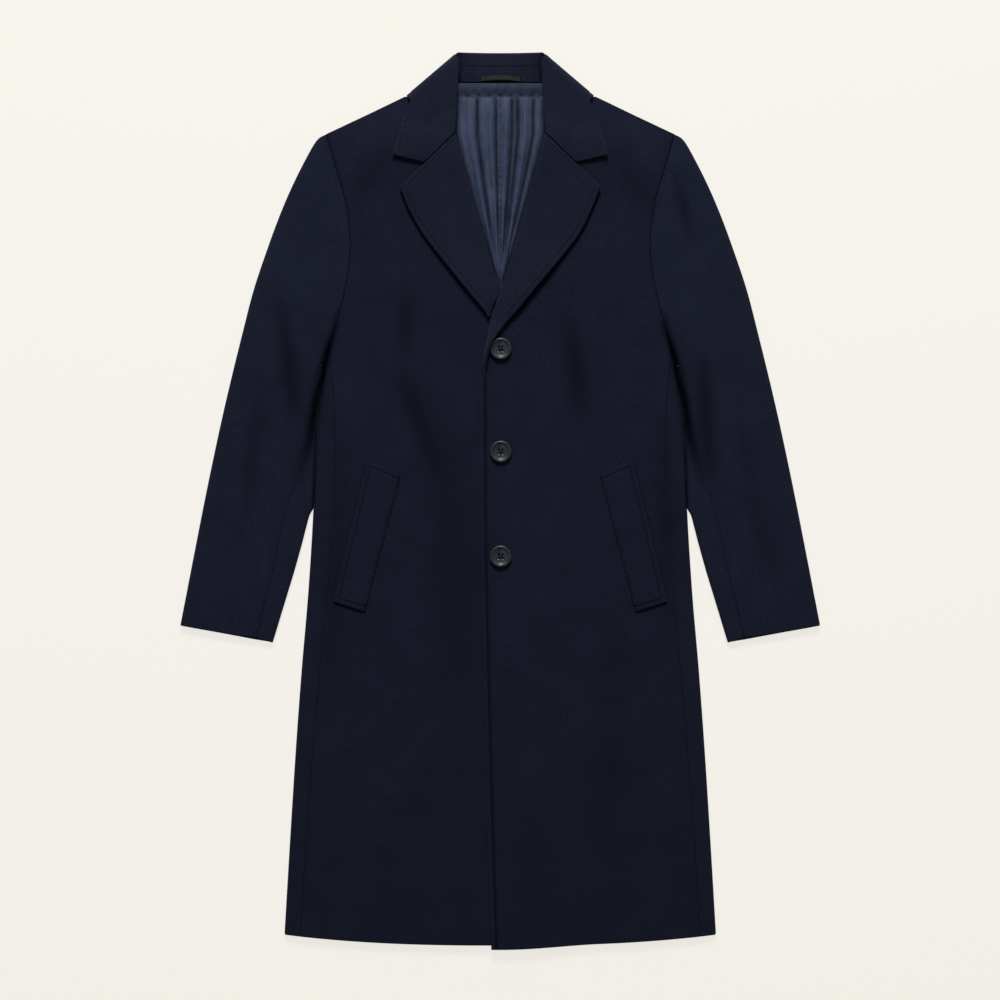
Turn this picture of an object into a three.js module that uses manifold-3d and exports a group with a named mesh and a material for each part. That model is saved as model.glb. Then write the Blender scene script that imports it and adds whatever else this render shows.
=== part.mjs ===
// A single-breasted wool overcoat, laid flat on its back with its front facing up.
// Millimetres. +X is the wearer's left, +Y runs from hem to collar, +Z is up from the surface.
// The origin is the middle of the coat's box, on the surface that it lies on.
import * as THREE from "three";
import Module from "manifold-3d";

const wasm = await Module();
wasm.setup();

// Driving sizes
const LENGTH = 1148; // collar fold to the lowest corner of the hem
const WOOL = 3; // coat cloth with its interlining
const LAPEL = 4.2; // lapel: the facing on the front cloth
const WELT = 3.2; // pocket welt, double cloth
const LINING = 1;
const SEAM_GAP = 0.6; // between two pieces sewn edge to edge
const LAY_GAP = 0.4; // between a panel and what lies on it
const LAPEL_GAP = 0.8; // between a front and the facing turned back on it
const AIR = 0.8; // between front and back where they lie flat together
const PUFF = 2.6; // how far the fronts and sleeves crown above that
const BUTTON_WIDTH = 28;
const BUTTON_HEIGHT = 4.6;
const BUTTON_DOWN = [378.5, 510, 644]; // below the collar fold, on the centre front
const BUTTON_ACROSS = 0.6;

// Where the panels meet and fold
const FOLD_HEIGHT = 2 * WOOL + AIR; // height of the coat at a side fold
const NECK_POINT = { across: 90, down: 63.5 };
const COLLAR_CROSSING = { across: 124, down: 57 }; // where the collar crosses the shoulder line
const NECK_DEPTH = 38; // back neck seam, below the collar fold
const SHOULDER_POINT = { across: 223, down: 103.5 };
const UNDERARM = { across: 228, down: 400 };
const FRONT_SEAM_AT = 0.93; // share of the armhole where the side panel starts, on the front
const BACK_SEAM_AT = 0.8; // and on the back
const HEM_MIDDLE = 1142.8;
const HEM_RISE = 13.3; // the hem is this much higher at the sides
const HEM_SAG = 5.2; // and the upper front this much lower at its corner
const HEM_HALF = 272;
const BACK_HEM_INSET = 3;
const ROLL_WALL = 3; // facing cloth round the lapel's roll
const ROLL_END_WALL = 0.8; // the same at the break point

// Front armhole, from the shoulder down to the underarm
const ARMHOLE = [
  { across: 223, down: 103.5, back: 223 },
  { across: 210.5, down: 147, back: 214 },
  { across: 198.5, down: 189, back: 207.5 },
  { across: 192.6, down: 231, back: 204 },
  { across: 194, down: 273, back: 204 },
  { across: 202, down: 315, back: 208 },
  { across: 214, down: 357, back: 215.5 },
  { across: 228, down: 400, back: 228 },
];

// Each row gives the side fold, the front seam and the back seam of the side panel
const SIDE_SECTIONS = [
  { down: 400, fold: 228, front: 219.5, back: 211, frontDown: 380, backDown: 345 },
  { down: 466, fold: 235, front: 212, back: 196, frontDown: 466, backDown: 466 },
  { down: 585, fold: 239.5, front: 213, back: 186, frontDown: 585, backDown: 585 },
  { down: 690, fold: 246, front: 221, back: 184, frontDown: 690, backDown: 690 },
  { down: 790, fold: 254.5, front: 230.5, back: 186, frontDown: 790, backDown: 790 },
  { down: 892, fold: 262, front: 239.5, back: 189, frontDown: 892, backDown: 892 },
  { down: 1010, fold: 269.5, front: 248.5, back: 193, frontDown: 1010, backDown: 1010 },
  { down: 1128, fold: 276.5, front: 256, back: 198, frontDown: 1131, backDown: 1134 },
];

// The lapel's roll line and outer edge, from the gorge to the break point above the first button
const LAPEL_SECTIONS = [
  { roll: 57, rollDown: 104, edge: 128, edgeDown: 172, belly: 0, turn: 1 },
  { roll: 51.5, rollDown: 127, edge: 115, edgeDown: 200, belly: 2, turn: 1 },
  { roll: 40, rollDown: 170, edge: 93, edgeDown: 232, belly: 8, turn: 1 },
  { roll: 25, rollDown: 222, edge: 70.5, edgeDown: 264, belly: 6, turn: 1 },
  { roll: 11, rollDown: 270, edge: 47, edgeDown: 297, belly: 2, turn: 1 },
  { roll: -1.5, rollDown: 309, edge: 24.5, edgeDown: 327, belly: 0, turn: 1 },
  { roll: -11, rollDown: 337, edge: 3.5, edgeDown: 351, belly: 0, turn: 1 },
  { roll: -16.5, rollDown: 364, edge: -9, edgeDown: 372, belly: 0, turn: 1 },
  { roll: -22.3, rollDown: 390, edge: -17.5, edgeDown: 393, belly: 0, turn: 1 },
  { roll: -25.4, rollDown: 407, edge: -23, edgeDown: 408, belly: 0, turn: 1 },
];

// The under lapel, which ends along the roll of the upper front. Its turn is the share of the
// front's edge that it wraps.
const COVERED_LAPEL = [
  { roll: 57, rollDown: 104, edge: 128, edgeDown: 172, belly: 0, turn: 1 },
  { roll: 51.5, rollDown: 127, edge: 115, edgeDown: 200, belly: 2, turn: 1 },
  { roll: 40, rollDown: 170, edge: 93, edgeDown: 232, belly: 6, turn: 1 },
  { roll: 25, rollDown: 222, edge: 70.5, edgeDown: 264, belly: 4, turn: 1 },
  { roll: 11, rollDown: 270, edge: 47, edgeDown: 297, belly: 1, turn: 1 },
  { roll: 0.8, rollDown: 303, edge: 30, edgeDown: 319, belly: 0, turn: 0 },
  { roll: 7.4, rollDown: 322, edge: 20.5, edgeDown: 330, belly: 0, turn: 0 },
  { roll: 12.4, rollDown: 336.5, edge: 16, edgeDown: 338, belly: 0, turn: 0 },
];

// The front edge below the break point, across measured from the centre to the wearer's own side
const FRONT_EDGE = [
  { across: -26.2, down: 412 },
  { across: -26.2, down: 509 },
  { across: -25, down: 644 },
  { across: -21, down: 828 },
  { across: -16.5, down: 990 },
  { across: -11.5, down: 1148 },
];

// Sleeve sections from the armhole to the cuff: outer fold, how far the inner fold lies beside the
// body, and how far the front seam lies from the inner fold, square to it
const SLEEVE_SECTIONS = [
  { outer: 223.6, outerDown: 103.6, beside: 0.7, innerDown: 401, seam: 7 },
  { outer: 236, outerDown: 112, beside: 0.7, innerDown: 411, seam: 7 },
  { outer: 252, outerDown: 140, beside: 0.7, innerDown: 425, seam: 7 },
  { outer: 269, outerDown: 175, beside: 0.7, innerDown: 444, seam: 7 },
  { outer: 284, outerDown: 211, beside: 0.7, innerDown: 466, seam: 7.5 },
  { outer: 299, outerDown: 252, beside: 0.7, innerDown: 492, seam: 10.5 },
  { outer: 316, outerDown: 303, beside: 0.7, innerDown: 524, seam: 17.5 },
  { outer: 331, outerDown: 361, beside: 0.9, innerDown: 560, seam: 26 },
  { outer: 346, outerDown: 422, beside: 4.2, innerDown: 596, seam: 31 },
  { outer: 360, outerDown: 483, beside: 10.8, innerDown: 625, seam: 30.5 },
  { outer: 376, outerDown: 559, beside: 19, innerDown: 662, seam: 27 },
  { outer: 392, outerDown: 640, beside: 29.5, innerDown: 706, seam: 25 },
  { outer: 410, outerDown: 733, beside: 40, innerDown: 755, seam: 22 },
];
const SLEEVE_BACK_SEAM = 3; // the column, out of ARM_STEPS, where the under sleeve starts
const ARMHOLE_REACH = 0.45; // share of the sleeve over which the armhole's curve fades out

// Soft creases of the cloth: place, half length along the coat, half width, and height
const CREASES = [
  { across: -100, down: 425, reach: 120, width: 26, height: -1.1 },
  { across: 93, down: 395, reach: 75, width: 24, height: -1.2 },
  { across: 150, down: 330, reach: 130, width: 34, height: 0.6 },
  { across: -62, down: 620, reach: 200, width: 40, height: -0.5 },
  { across: 60, down: 760, reach: 260, width: 46, height: 0.5 },
  { across: -268, down: 430, reach: 110, width: 17, height: -1.3 },
  { across: 264, down: 450, reach: 100, width: 16, height: -1.2 },
  { across: 236, down: 200, reach: 45, width: 9, height: -0.9 },
];

// Collar leaf
const COLLAR_TOP = { across: 58.8, down: 2.8 }; // where the leaf folds round to the back
const COLLAR_SIDE = { across: 119.5, down: 53.5 };
const COLLAR_TIP = { across: 138, down: 131.5 };
const NOTCH = { across: 96.6, down: 141 };
const GORGE_TOP = { across: 57.6, down: 103 };
const NOTCH_AT = 0.5; // share of the leaf's width where the gorge seam ends
const LEAF_BACK_DOWN = 50; // outer edge of the leaf at the centre back
const RETURN_DOWN = 16.4; // where the collar's inner seam lies

// Pocket welt, corner by corner
const WELT_TOP_OUTER = { across: 169.5, down: 521 };
const WELT_TOP_INNER = { across: 127.5, down: 540 };
const WELT_LOW_INNER = { across: 173, down: 715 };
const WELT_LOW_OUTER = { across: 213.5, down: 702 };

const LOOP = { half: 26, top: 28, low: 36.4, thick: 1.2, arch: 2.2 };
const LINING_END = 345;
const LINING_FOLDS = [
  { across: -42, width: 7, height: 1.5 },
  { across: -27, width: 5, height: -0.7 },
  { across: -11, width: 7, height: 1.6 },
  { across: 7, width: 5.5, height: 1.4 },
  { across: 19, width: 5, height: -0.8 },
  { across: 30, width: 6.5, height: 1.7 },
  { across: 44, width: 5, height: 0.9 },
];

// Mesh steps
const ARM_STEPS = 8;
const SEAM_STEPS = 11;
const PANEL_COLUMNS = 9;
const TURN_STEPS = 6;
const SLEEVE_ROWS = 17;

// Small mathematics
const mix = (a, b, t) => a + (b - a) * t;
const clamp01 = (t) => Math.min(1, Math.max(0, t));
const smooth = (low, high, t) => {
  const s = clamp01((t - low) / (high - low));
  return s * s * (3 - 2 * s);
};
const between = (a, b, t) => ({ across: mix(a.across, b.across, t), down: mix(a.down, b.down, t) });

// Smooth value of a table's column at share t of its rows
function column(table, key) {
  const curve = new THREE.SplineCurve(table.map((row, i) => new THREE.Vector2(i, row[key])));
  return (t) => curve.getPoint(clamp01(t)).y;
}

// Smooth point of a table, from a column across and a column down
function path(table, acrossKey, downKey) {
  const across = column(table, acrossKey);
  const down = column(table, downKey);
  return (t) => ({ across: across(t), down: down(t) });
}

// Value of a table's column at a given distance down the coat, by straight lines
function atDown(table, key, downKey, down) {
  const last = table.length - 1;
  let i = 1;
  while (i < last && table[i][downKey] < down) i += 1;
  const a = table[i - 1];
  const b = table[i];
  return mix(a[key], b[key], clamp01((down - a[downKey]) / (b[downKey] - a[downKey])));
}

const armhole = path(ARMHOLE, "across", "down");
const backArmhole = path(ARMHOLE, "back", "down");
const foldLine = path(SIDE_SECTIONS, "fold", "down");
const frontSeam = path(SIDE_SECTIONS, "front", "frontDown");
const backSeam = path(SIDE_SECTIONS, "back", "backDown");
const frontEdge = path(FRONT_EDGE, "across", "down");
const rollLine = path(LAPEL_SECTIONS, "roll", "rollDown");

// The hem's distance down at a place across
const hemAt = (across) => HEM_MIDDLE - HEM_RISE * Math.pow(Math.abs(across) / HEM_HALF, 2.5);

// The shoulder line and back neck: the upper edge of the body at a place across
function topEdgeAt(across) {
  const a = Math.abs(across);
  if (a < NECK_POINT.across) {
    return NECK_DEPTH + (NECK_POINT.down - NECK_DEPTH) * (a / NECK_POINT.across) ** 4;
  }
  const inner = a < COLLAR_CROSSING.across;
  const start = inner ? NECK_POINT : COLLAR_CROSSING;
  const end = inner ? COLLAR_CROSSING : SHOULDER_POINT;
  return mix(start.down, end.down, (a - start.across) / (end.across - start.across));
}

// How far the shoulder line leaves the straight line that a panel's top row would take
function shoulderBow(share, end) {
  const across = mix(SHOULDER_POINT.across, end.across, share);
  return topEdgeAt(across) - mix(SHOULDER_POINT.down, end.down, share);
}

// Half width of the body at a distance down: armhole above the underarm, side fold below it
function halfWidth(down) {
  if (down < UNDERARM.down) return atDown(ARMHOLE, "across", "down", down);
  return atDown(SIDE_SECTIONS, "fold", "down", down);
}

// Heights of the layers

// The back rises over the collar leaf that lies under it
function backLift(across, down) {
  const past = 1 - smooth(100, 190, down);
  const beside = 1 - smooth(118, 180, Math.abs(across));
  return (WOOL + LAY_GAP) * past * beside;
}

const rise = (distance, length) => 1 - Math.exp(-Math.max(0, distance) / length);

// All creases that pass a point
function creaseAt(x, down) {
  let sum = 0;
  for (const c of CREASES) {
    const along = clamp01(1 - ((down - c.down) / c.reach) ** 2);
    sum += c.height * along * Math.exp(-(((x - c.across) / c.width) ** 2));
  }
  return sum;
}

// Upper face of a front panel; x carries the side, and the centre overlap isn't in it
function frontTop(x, down) {
  const across = Math.abs(x);
  const armLength = UNDERARM.down - SHOULDER_POINT.down;
  const round = Math.sin(Math.PI * clamp01((down - SHOULDER_POINT.down) / armLength));
  const fromSide = halfWidth(down) - across + 8 * round;
  const fromShoulder = down - topEdgeAt(across);
  const fromHem = hemAt(across) - down;
  const hemShare = 0.35 + 0.65 * rise(fromHem, 40);
  const crown = PUFF * rise(fromSide, 22) * rise(fromShoulder, 16) * hemShare;
  const fromRoll = across - atDown(LAPEL_SECTIONS, "roll", "rollDown", down);
  const open = 0.7 * (1 - smooth(20, 80, fromRoll)) * (1 - smooth(330, 420, down));
  const soft = creaseAt(x, down) * rise(fromSide, 12) * hemShare;
  return FOLD_HEIGHT + backLift(across, down) + crown + open + soft;
}

// The wearer's left front lies over the right one at the centre
function overlapLift(x, down) {
  const near = 1 - smooth(30, 125, x);
  return (WOOL + LAY_GAP) * near * smooth(190, 308, down);
}

const upperTop = (x, down) => frontTop(x, down) + overlapLift(x, down);
const topOfSide = (side) => (side > 0 ? upperTop : frontTop);

// Solid building

const point = (x, down, z) => new THREE.Vector3(x, LENGTH / 2 - down, z);

// A closed wall between two grids of points of the same size
function wall(outer, inner) {
  const rows = outer.length;
  const columns = outer[0].length;
  const layer = rows * columns;
  const positions = [];
  for (const grid of [outer, inner]) {
    for (const row of grid) for (const p of row) positions.push(p.x, p.y, p.z);
  }
  const index = [];
  const corner = (i) => new THREE.Vector3().fromArray(positions, 3 * i);
  const bend = (a, b, c, d) => {
    const [p, q, r, s] = [a, b, c, d].map(corner);
    const first = new THREE.Triangle(p, q, r).getNormal(new THREE.Vector3());
    const second = new THREE.Triangle(p, r, s).getNormal(new THREE.Vector3());
    return first.dot(second);
  };
  // Two triangles over four corners, along the diagonal that leaves them flatter
  const quad = (a, b, c, d) => {
    if (bend(a, b, c, d) + 1e-9 >= bend(b, c, d, a)) index.push(a, b, c, a, c, d);
    else index.push(b, c, d, b, d, a);
  };
  const at = (i, j) => i * columns + j;
  for (let i = 0; i + 1 < rows; i += 1) {
    for (let j = 0; j + 1 < columns; j += 1) {
      quad(at(i, j), at(i + 1, j), at(i + 1, j + 1), at(i, j + 1));
      quad(layer + at(i, j), layer + at(i, j + 1), layer + at(i + 1, j + 1), layer + at(i + 1, j));
    }
  }
  const rim = [];
  for (let j = 0; j < columns; j += 1) rim.push(at(0, j));
  for (let i = 1; i < rows; i += 1) rim.push(at(i, columns - 1));
  for (let j = columns - 2; j >= 0; j -= 1) rim.push(at(rows - 1, j));
  for (let i = rows - 2; i > 0; i -= 1) rim.push(at(i, 0));
  rim.forEach((a, k) => {
    const b = rim[(k + 1) % rim.length];
    quad(a, b, layer + b, layer + a);
  });
  const geometry = new THREE.BufferGeometry();
  geometry.setAttribute("position", new THREE.Float32BufferAttribute(positions, 3));
  geometry.setIndex(index);
  return facingOut(geometry);
}

// Turns every face round where a closed geometry has its faces pointing in
function facingOut(geometry) {
  const p = geometry.attributes.position;
  const index = geometry.index.array;
  const a = new THREE.Vector3();
  const b = new THREE.Vector3();
  const c = new THREE.Vector3();
  let volume = 0;
  for (let i = 0; i < index.length; i += 3) {
    a.fromBufferAttribute(p, index[i]);
    b.fromBufferAttribute(p, index[i + 1]);
    c.fromBufferAttribute(p, index[i + 2]);
    volume += a.dot(b.cross(c));
  }
  if (volume < 0) {
    for (let i = 0; i < index.length; i += 3) {
      [index[i + 1], index[i + 2]] = [index[i + 2], index[i + 1]];
    }
  }
  geometry.computeVertexNormals();
  return geometry;
}

// A wall that lies on a surface: each grid point holds x and down, and height gives its lower face
function laid(grid, height, thickness) {
  const upper = grid.map((row) => row.map((p) => point(p.x, p.down, height(p.x, p.down) + thickness)));
  const lower = grid.map((row) => row.map((p) => point(p.x, p.down, height(p.x, p.down))));
  return wall(upper, lower);
}

// A grid of points by a function of row and column
const grid = (rows, columns, at) =>
  Array.from({ length: rows + 1 }, (_, i) => Array.from({ length: columns + 1 }, (_, j) => at(i, j)));

// Body panels

const NECK_ROWS = 1; // rows of a front panel from the neck point to the top of the roll line

// The edge of a front panel towards the centre: neck, roll line, then front edge
function centreEdge(row) {
  if (row > ARM_STEPS) return frontEdge((row - ARM_STEPS) / SEAM_STEPS);
  if (row < NECK_ROWS) return between(NECK_POINT, insetRoll(0), row / NECK_ROWS);
  return insetRoll((row - NECK_ROWS) / (ARM_STEPS - NECK_ROWS));
}

// Thickness of the facing's turn round the roll line
const rollWall = (down) => mix(ROLL_WALL, ROLL_END_WALL, smooth(350, 400, down));

// The roll line, moved in to leave room for the facing that turns round it
function insetRoll(t) {
  const p = rollLine(t);
  return { across: p.across + rollWall(p.down) + SEAM_GAP, down: p.down };
}

// Where the outer edge of a panel lies: along the armhole, then down the side panel's seam
function sideEdge(row, armholeCurve, seamAt, seamCurve) {
  if (row > ARM_STEPS) return seamCurve((row - ARM_STEPS) / SEAM_STEPS);
  return armholeCurve((seamAt * row) / ARM_STEPS);
}

function frontPanel(side) {
  const rows = ARM_STEPS + SEAM_STEPS;
  const points = grid(rows, PANEL_COLUMNS, (i, j) => {
    const below = i - ARM_STEPS;
    const start = sideEdge(i, armhole, FRONT_SEAM_AT, frontSeam);
    const share = 1 - (1 - j / PANEL_COLUMNS) ** 1.35;
    const p = between(start, centreEdge(i), share);
    const inward = below >= 0 ? SEAM_GAP * (1 - share) : 0;
    const across = p.across - inward;
    const settle = smooth(SEAM_STEPS * 0.6, SEAM_STEPS, below);
    const extra = side > 0 ? HEM_SAG * (1 - smooth(0, 130, across)) : 0;
    const bow = i === 0 ? shoulderBow(share, NECK_POINT) : 0;
    return { x: side * across, down: mix(p.down, hemAt(across) + extra, settle) + bow };
  });
  return laid(points, (x, down) => topOfSide(side)(x, down) - WOOL, WOOL);
}

function backPanel(side) {
  const rows = ARM_STEPS + SEAM_STEPS;
  const neck = { across: SEAM_GAP / 2, down: NECK_DEPTH };
  const points = grid(rows, PANEL_COLUMNS, (i, j) => {
    const below = i - ARM_STEPS;
    const share = j / PANEL_COLUMNS;
    const start = sideEdge(i, backArmhole, BACK_SEAM_AT, backSeam);
    const centre = { across: neck.across, down: mix(NECK_DEPTH, HEM_MIDDLE, i / rows) };
    const p = between(start, centre, share);
    const inward = below >= 0 ? SEAM_GAP * (1 - share) : 0;
    const across = p.across - inward;
    const bow = shoulderBow(share, neck) * (1 - smooth(0, ARM_STEPS, i));
    const settle = smooth(SEAM_STEPS * 0.6, SEAM_STEPS, below);
    return { x: side * across, down: mix(p.down, hemAt(across) - BACK_HEM_INSET, settle) + bow };
  });
  return laid(points, backLift, WOOL);
}

// A turned-over edge in a section: outer and inner points round a fold whose silhouette is at 0,
// as distance inwards and height, from the lower face to the upper one
function turn(height) {
  const radius = height / 2;
  return Array.from({ length: TURN_STEPS + 1 }, (_, k) => {
    const angle = (Math.PI * k) / TURN_STEPS;
    const place = (r) => ({ inward: radius - r * Math.sin(angle), z: radius - r * Math.cos(angle) });
    return { outer: place(radius), inner: place(radius - WOOL) };
  });
}

function sidePanel(side) {
  const outer = [];
  const inner = [];
  const runs = 3;
  const radius = FOLD_HEIGHT / 2;
  for (let i = 0; i <= SEAM_STEPS; i += 1) {
    const t = i / SEAM_STEPS;
    const fold = foldLine(t);
    const flat = { across: fold.across - radius, down: fold.down };
    const lower = (share) =>
      t === 0 ? backArmhole(mix(BACK_SEAM_AT, 1, share)) : between(backSeam(t), flat, share);
    const upper = (share) =>
      t === 0 ? armhole(mix(1, FRONT_SEAM_AT, share)) : between(flat, frontSeam(t), share);
    const outerRow = [];
    const innerRow = [];
    const add = (across, down, z, innerAcross, innerZ) => {
      const hem = hemAt(across) - BACK_HEM_INSET * (1 - smooth(0, FOLD_HEIGHT, z));
      const low = t === 1 ? hem : down + (t === 0 ? SEAM_GAP : 0);
      outerRow.push(point(side * across, low, z));
      innerRow.push(point(side * innerAcross, low, innerZ));
    };
    for (let k = 0; k < runs; k += 1) {
      const p = lower(k / runs);
      add(p.across, p.down, 0, p.across, WOOL);
    }
    for (const s of turn(FOLD_HEIGHT)) {
      add(fold.across - s.outer.inward, fold.down, s.outer.z, fold.across - s.inner.inward, s.inner.z);
    }
    for (let k = 1; k <= runs; k += 1) {
      const p = upper(k / runs);
      const z = mix(FOLD_HEIGHT, frontTop(side * p.across, p.down), k / runs);
      add(p.across, p.down, z, p.across, z - WOOL);
    }
    outer.push(outerRow);
    inner.push(innerRow);
  }
  return wall(outer, inner);
}

// Sleeves

const sleeveOuter = path(SLEEVE_SECTIONS, "outer", "outerDown");
const sleeveBeside = column(SLEEVE_SECTIONS, "beside");
const sleeveDown = column(SLEEVE_SECTIONS, "innerDown");
const sleeveSeam = column(SLEEVE_SECTIONS, "seam");

// The side fold as the side panel's mesh has it
const FOLD_POINTS = Array.from({ length: SEAM_STEPS + 1 }, (_, i) => foldLine(i / SEAM_STEPS));

// The inner fold of a sleeve, close beside the body
function sleeveInner(t) {
  const down = sleeveDown(t);
  return { across: atDown(FOLD_POINTS, "across", "down", down) + sleeveBeside(t), down };
}

// Place at a distance from the inner fold into the sleeve, square to the fold, but rather up than
// across at the underarm
function besideFold(t, distance) {
  const fold = sleeveInner(t);
  const a = sleeveInner(t - 0.03);
  const b = sleeveInner(t + 0.03);
  const long = Math.hypot(b.across - a.across, b.down - a.down);
  const settle = smooth(0, 0.05, t);
  return {
    across: fold.across + mix(0.35, (b.down - a.down) / long, settle) * distance,
    down: fold.down + mix(-0.94, (a.across - b.across) / long, settle) * distance,
  };
}

// Place of a sleeve point: t along the sleeve, share across from outer to inner fold
function sleevePlace(t, share, curve) {
  const chord = between(sleeveOuter(t), sleeveInner(t), share);
  const fade = (1 - smooth(0, ARMHOLE_REACH, t)) ** 1.5;
  const start = between(sleeveOuter(0), sleeveInner(0), share);
  const seam = curve(share);
  return {
    across: chord.across + (seam.across + SEAM_GAP - start.across) * fade,
    down: chord.down + (seam.down - start.down) * fade,
  };
}

// Height of the sleeve's upper face
function sleeveTop(t, share, place, side) {
  const width = Math.hypot(
    sleeveOuter(t).across - sleeveInner(t).across,
    sleeveOuter(t).down - sleeveInner(t).down,
  );
  const edge = Math.min(share, 1 - share) * width;
  const cuff = 0.3 + 0.7 * rise((1 - t) * 400, 35);
  const crown = PUFF * rise(edge, 20) * cuff;
  const soft = creaseAt(side * place.across, place.down) * rise(edge, 12) * cuff;
  const own = FOLD_HEIGHT + crown + soft;
  const body = frontTop(side * (place.across - SEAM_GAP), place.down);
  return mix(body, own, smooth(0, 0.1, t));
}

// One row of a sleeve's section points. The front seam splits the two pieces on the upper side.
function sleeveRow(t, side, isTop) {
  const width = Math.hypot(
    sleeveOuter(t).across - sleeveInner(t).across,
    sleeveOuter(t).down - sleeveInner(t).down,
  );
  const settle = smooth(0, 0.1, t);
  const seamShare = mix(FRONT_SEAM_AT, 1 - sleeveSeam(t) / width, settle);
  const gapShare = SEAM_GAP / 2 / width;
  const seamAt = (gap) =>
    between(
      sleevePlace(t, FRONT_SEAM_AT + gap / width, armhole),
      besideFold(t, sleeveSeam(t) - gap),
      settle,
    );
  const radius = FOLD_HEIGHT / 2;
  const edgeShare = radius / width;
  const outerRow = [];
  const innerRow = [];
  const add = (a, b, outerZ, innerZ) => {
    outerRow.push(point(side * a.across, a.down, outerZ));
    innerRow.push(point(side * b.across, b.down, innerZ));
  };
  const under = (share) => {
    const p = sleevePlace(t, share, backArmhole);
    add(p, p, 0, WOOL);
  };
  const upper = (share, p = sleevePlace(t, share, armhole)) => {
    const z = sleeveTop(t, share, p, side);
    add(p, p, z, z - WOOL);
  };
  const underShare = (j) => (BACK_SEAM_AT * j) / ARM_STEPS;
  if (isTop) {
    under(underShare(SLEEVE_BACK_SEAM) - gapShare);
    for (let j = SLEEVE_BACK_SEAM - 1; j > 0; j -= 1) under(underShare(j));
    for (const s of turn(FOLD_HEIGHT)) {
      const curve = s.outer.z > radius ? armhole : backArmhole;
      const place = (inward) => sleevePlace(t, inward / width, curve);
      add(place(s.outer.inward), place(s.inner.inward), s.outer.z, s.inner.z);
    }
    const seam = seamAt(-SEAM_GAP / 2);
    const chordEnd = sleevePlace(t, seamShare, armhole);
    for (let j = 1; j <= ARM_STEPS; j += 1) {
      const k = j / ARM_STEPS;
      const share = Math.max(edgeShare * 1.5, seamShare * k);
      const p = sleevePlace(t, share, armhole);
      p.across += (seam.across - chordEnd.across) * k ** 3;
      p.down += (seam.down - chordEnd.down) * k ** 3;
      upper(share, p);
    }
  } else {
    under(underShare(SLEEVE_BACK_SEAM) + gapShare);
    for (let j = SLEEVE_BACK_SEAM + 1; j <= ARM_STEPS; j += 1) under(underShare(j));
    for (const s of turn(FOLD_HEIGHT)) {
      add(besideFold(t, s.outer.inward), besideFold(t, s.inner.inward), s.outer.z, s.inner.z);
    }
    const seam = seamAt(SEAM_GAP / 2);
    upper(mix(1 - edgeShare, seamShare, 0.5), between(besideFold(t, radius), seam, 0.5));
    upper(seamShare, seam);
  }
  return { outerRow, innerRow };
}

function sleeve(side, isTop) {
  const rows = Array.from({ length: SLEEVE_ROWS + 1 }, (_, i) => sleeveRow(i / SLEEVE_ROWS, side, isTop));
  return wall(
    rows.map((r) => r.outerRow),
    rows.map((r) => r.innerRow),
  );
}

// Lapels

// The lower end of the upper lapel rides over the edge of the first button
const overButton = (down) => (BUTTON_HEIGHT + 0.6) * Math.exp(-(((down - BUTTON_DOWN[0] + 6) / 20) ** 2));

// The facing: a flap on the front, turned down round the roll line
function facing(side, table) {
  const rollAt = path(table, "roll", "rollDown");
  const edgeAt = path(table, "edge", "edgeDown");
  const belly = column(table, "belly");
  const turnAt = column(table, "turn");
  const top = topOfSide(side);
  const rows = 2 * (table.length - 1);
  const radius = LAPEL - 0.4;
  const outer = [];
  const inner = [];
  for (let i = 0; i <= rows; i += 1) {
    const t = i / rows;
    const roll = rollAt(t);
    const edge = edgeAt(t);
    edge.across += belly(t);
    const wide = Math.hypot(edge.across - roll.across, edge.down - roll.down);
    const wallShare = Math.min(0.45, rollWall(roll.down) / wide);
    const reach = Math.min(radius / wide, 0.6);
    const outerRow = [];
    const innerRow = [];
    const place = (row, share, height) => {
      const p = between(roll, edge, share);
      const over = side > 0 ? overButton(p.down) * smooth(0, 0.5, share) : 0;
      row.push(point(side * p.across, p.down, top(side * p.across, p.down) + height + over));
    };
    for (const share of [1, 0.8, 0.6, 0.4, 0.2]) {
      place(outerRow, mix(reach, 1, share), LAPEL_GAP + LAPEL);
      place(innerRow, mix(wallShare, 1, share), LAPEL_GAP);
    }
    const quarter = 4;
    for (let k = 0; k <= quarter; k += 1) {
      const angle = (Math.PI / 2) * (k / quarter);
      const high = LAPEL_GAP + LAPEL - radius * (1 - Math.cos(angle));
      place(outerRow, reach * (1 - Math.sin(angle)), high);
      place(innerRow, wallShare * (1 - 0.03 * k), LAPEL_GAP - 0.01 * k);
    }
    const drop = mix(LAPEL_GAP - 0.1, -WOOL, turnAt(t));
    place(outerRow, 0, drop);
    place(innerRow, wallShare * 0.85, drop);
    outer.push(outerRow);
    inner.push(innerRow);
  }
  return wall(outer, inner);
}

// Collar

const LEAF_COLUMNS = 4;

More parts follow.
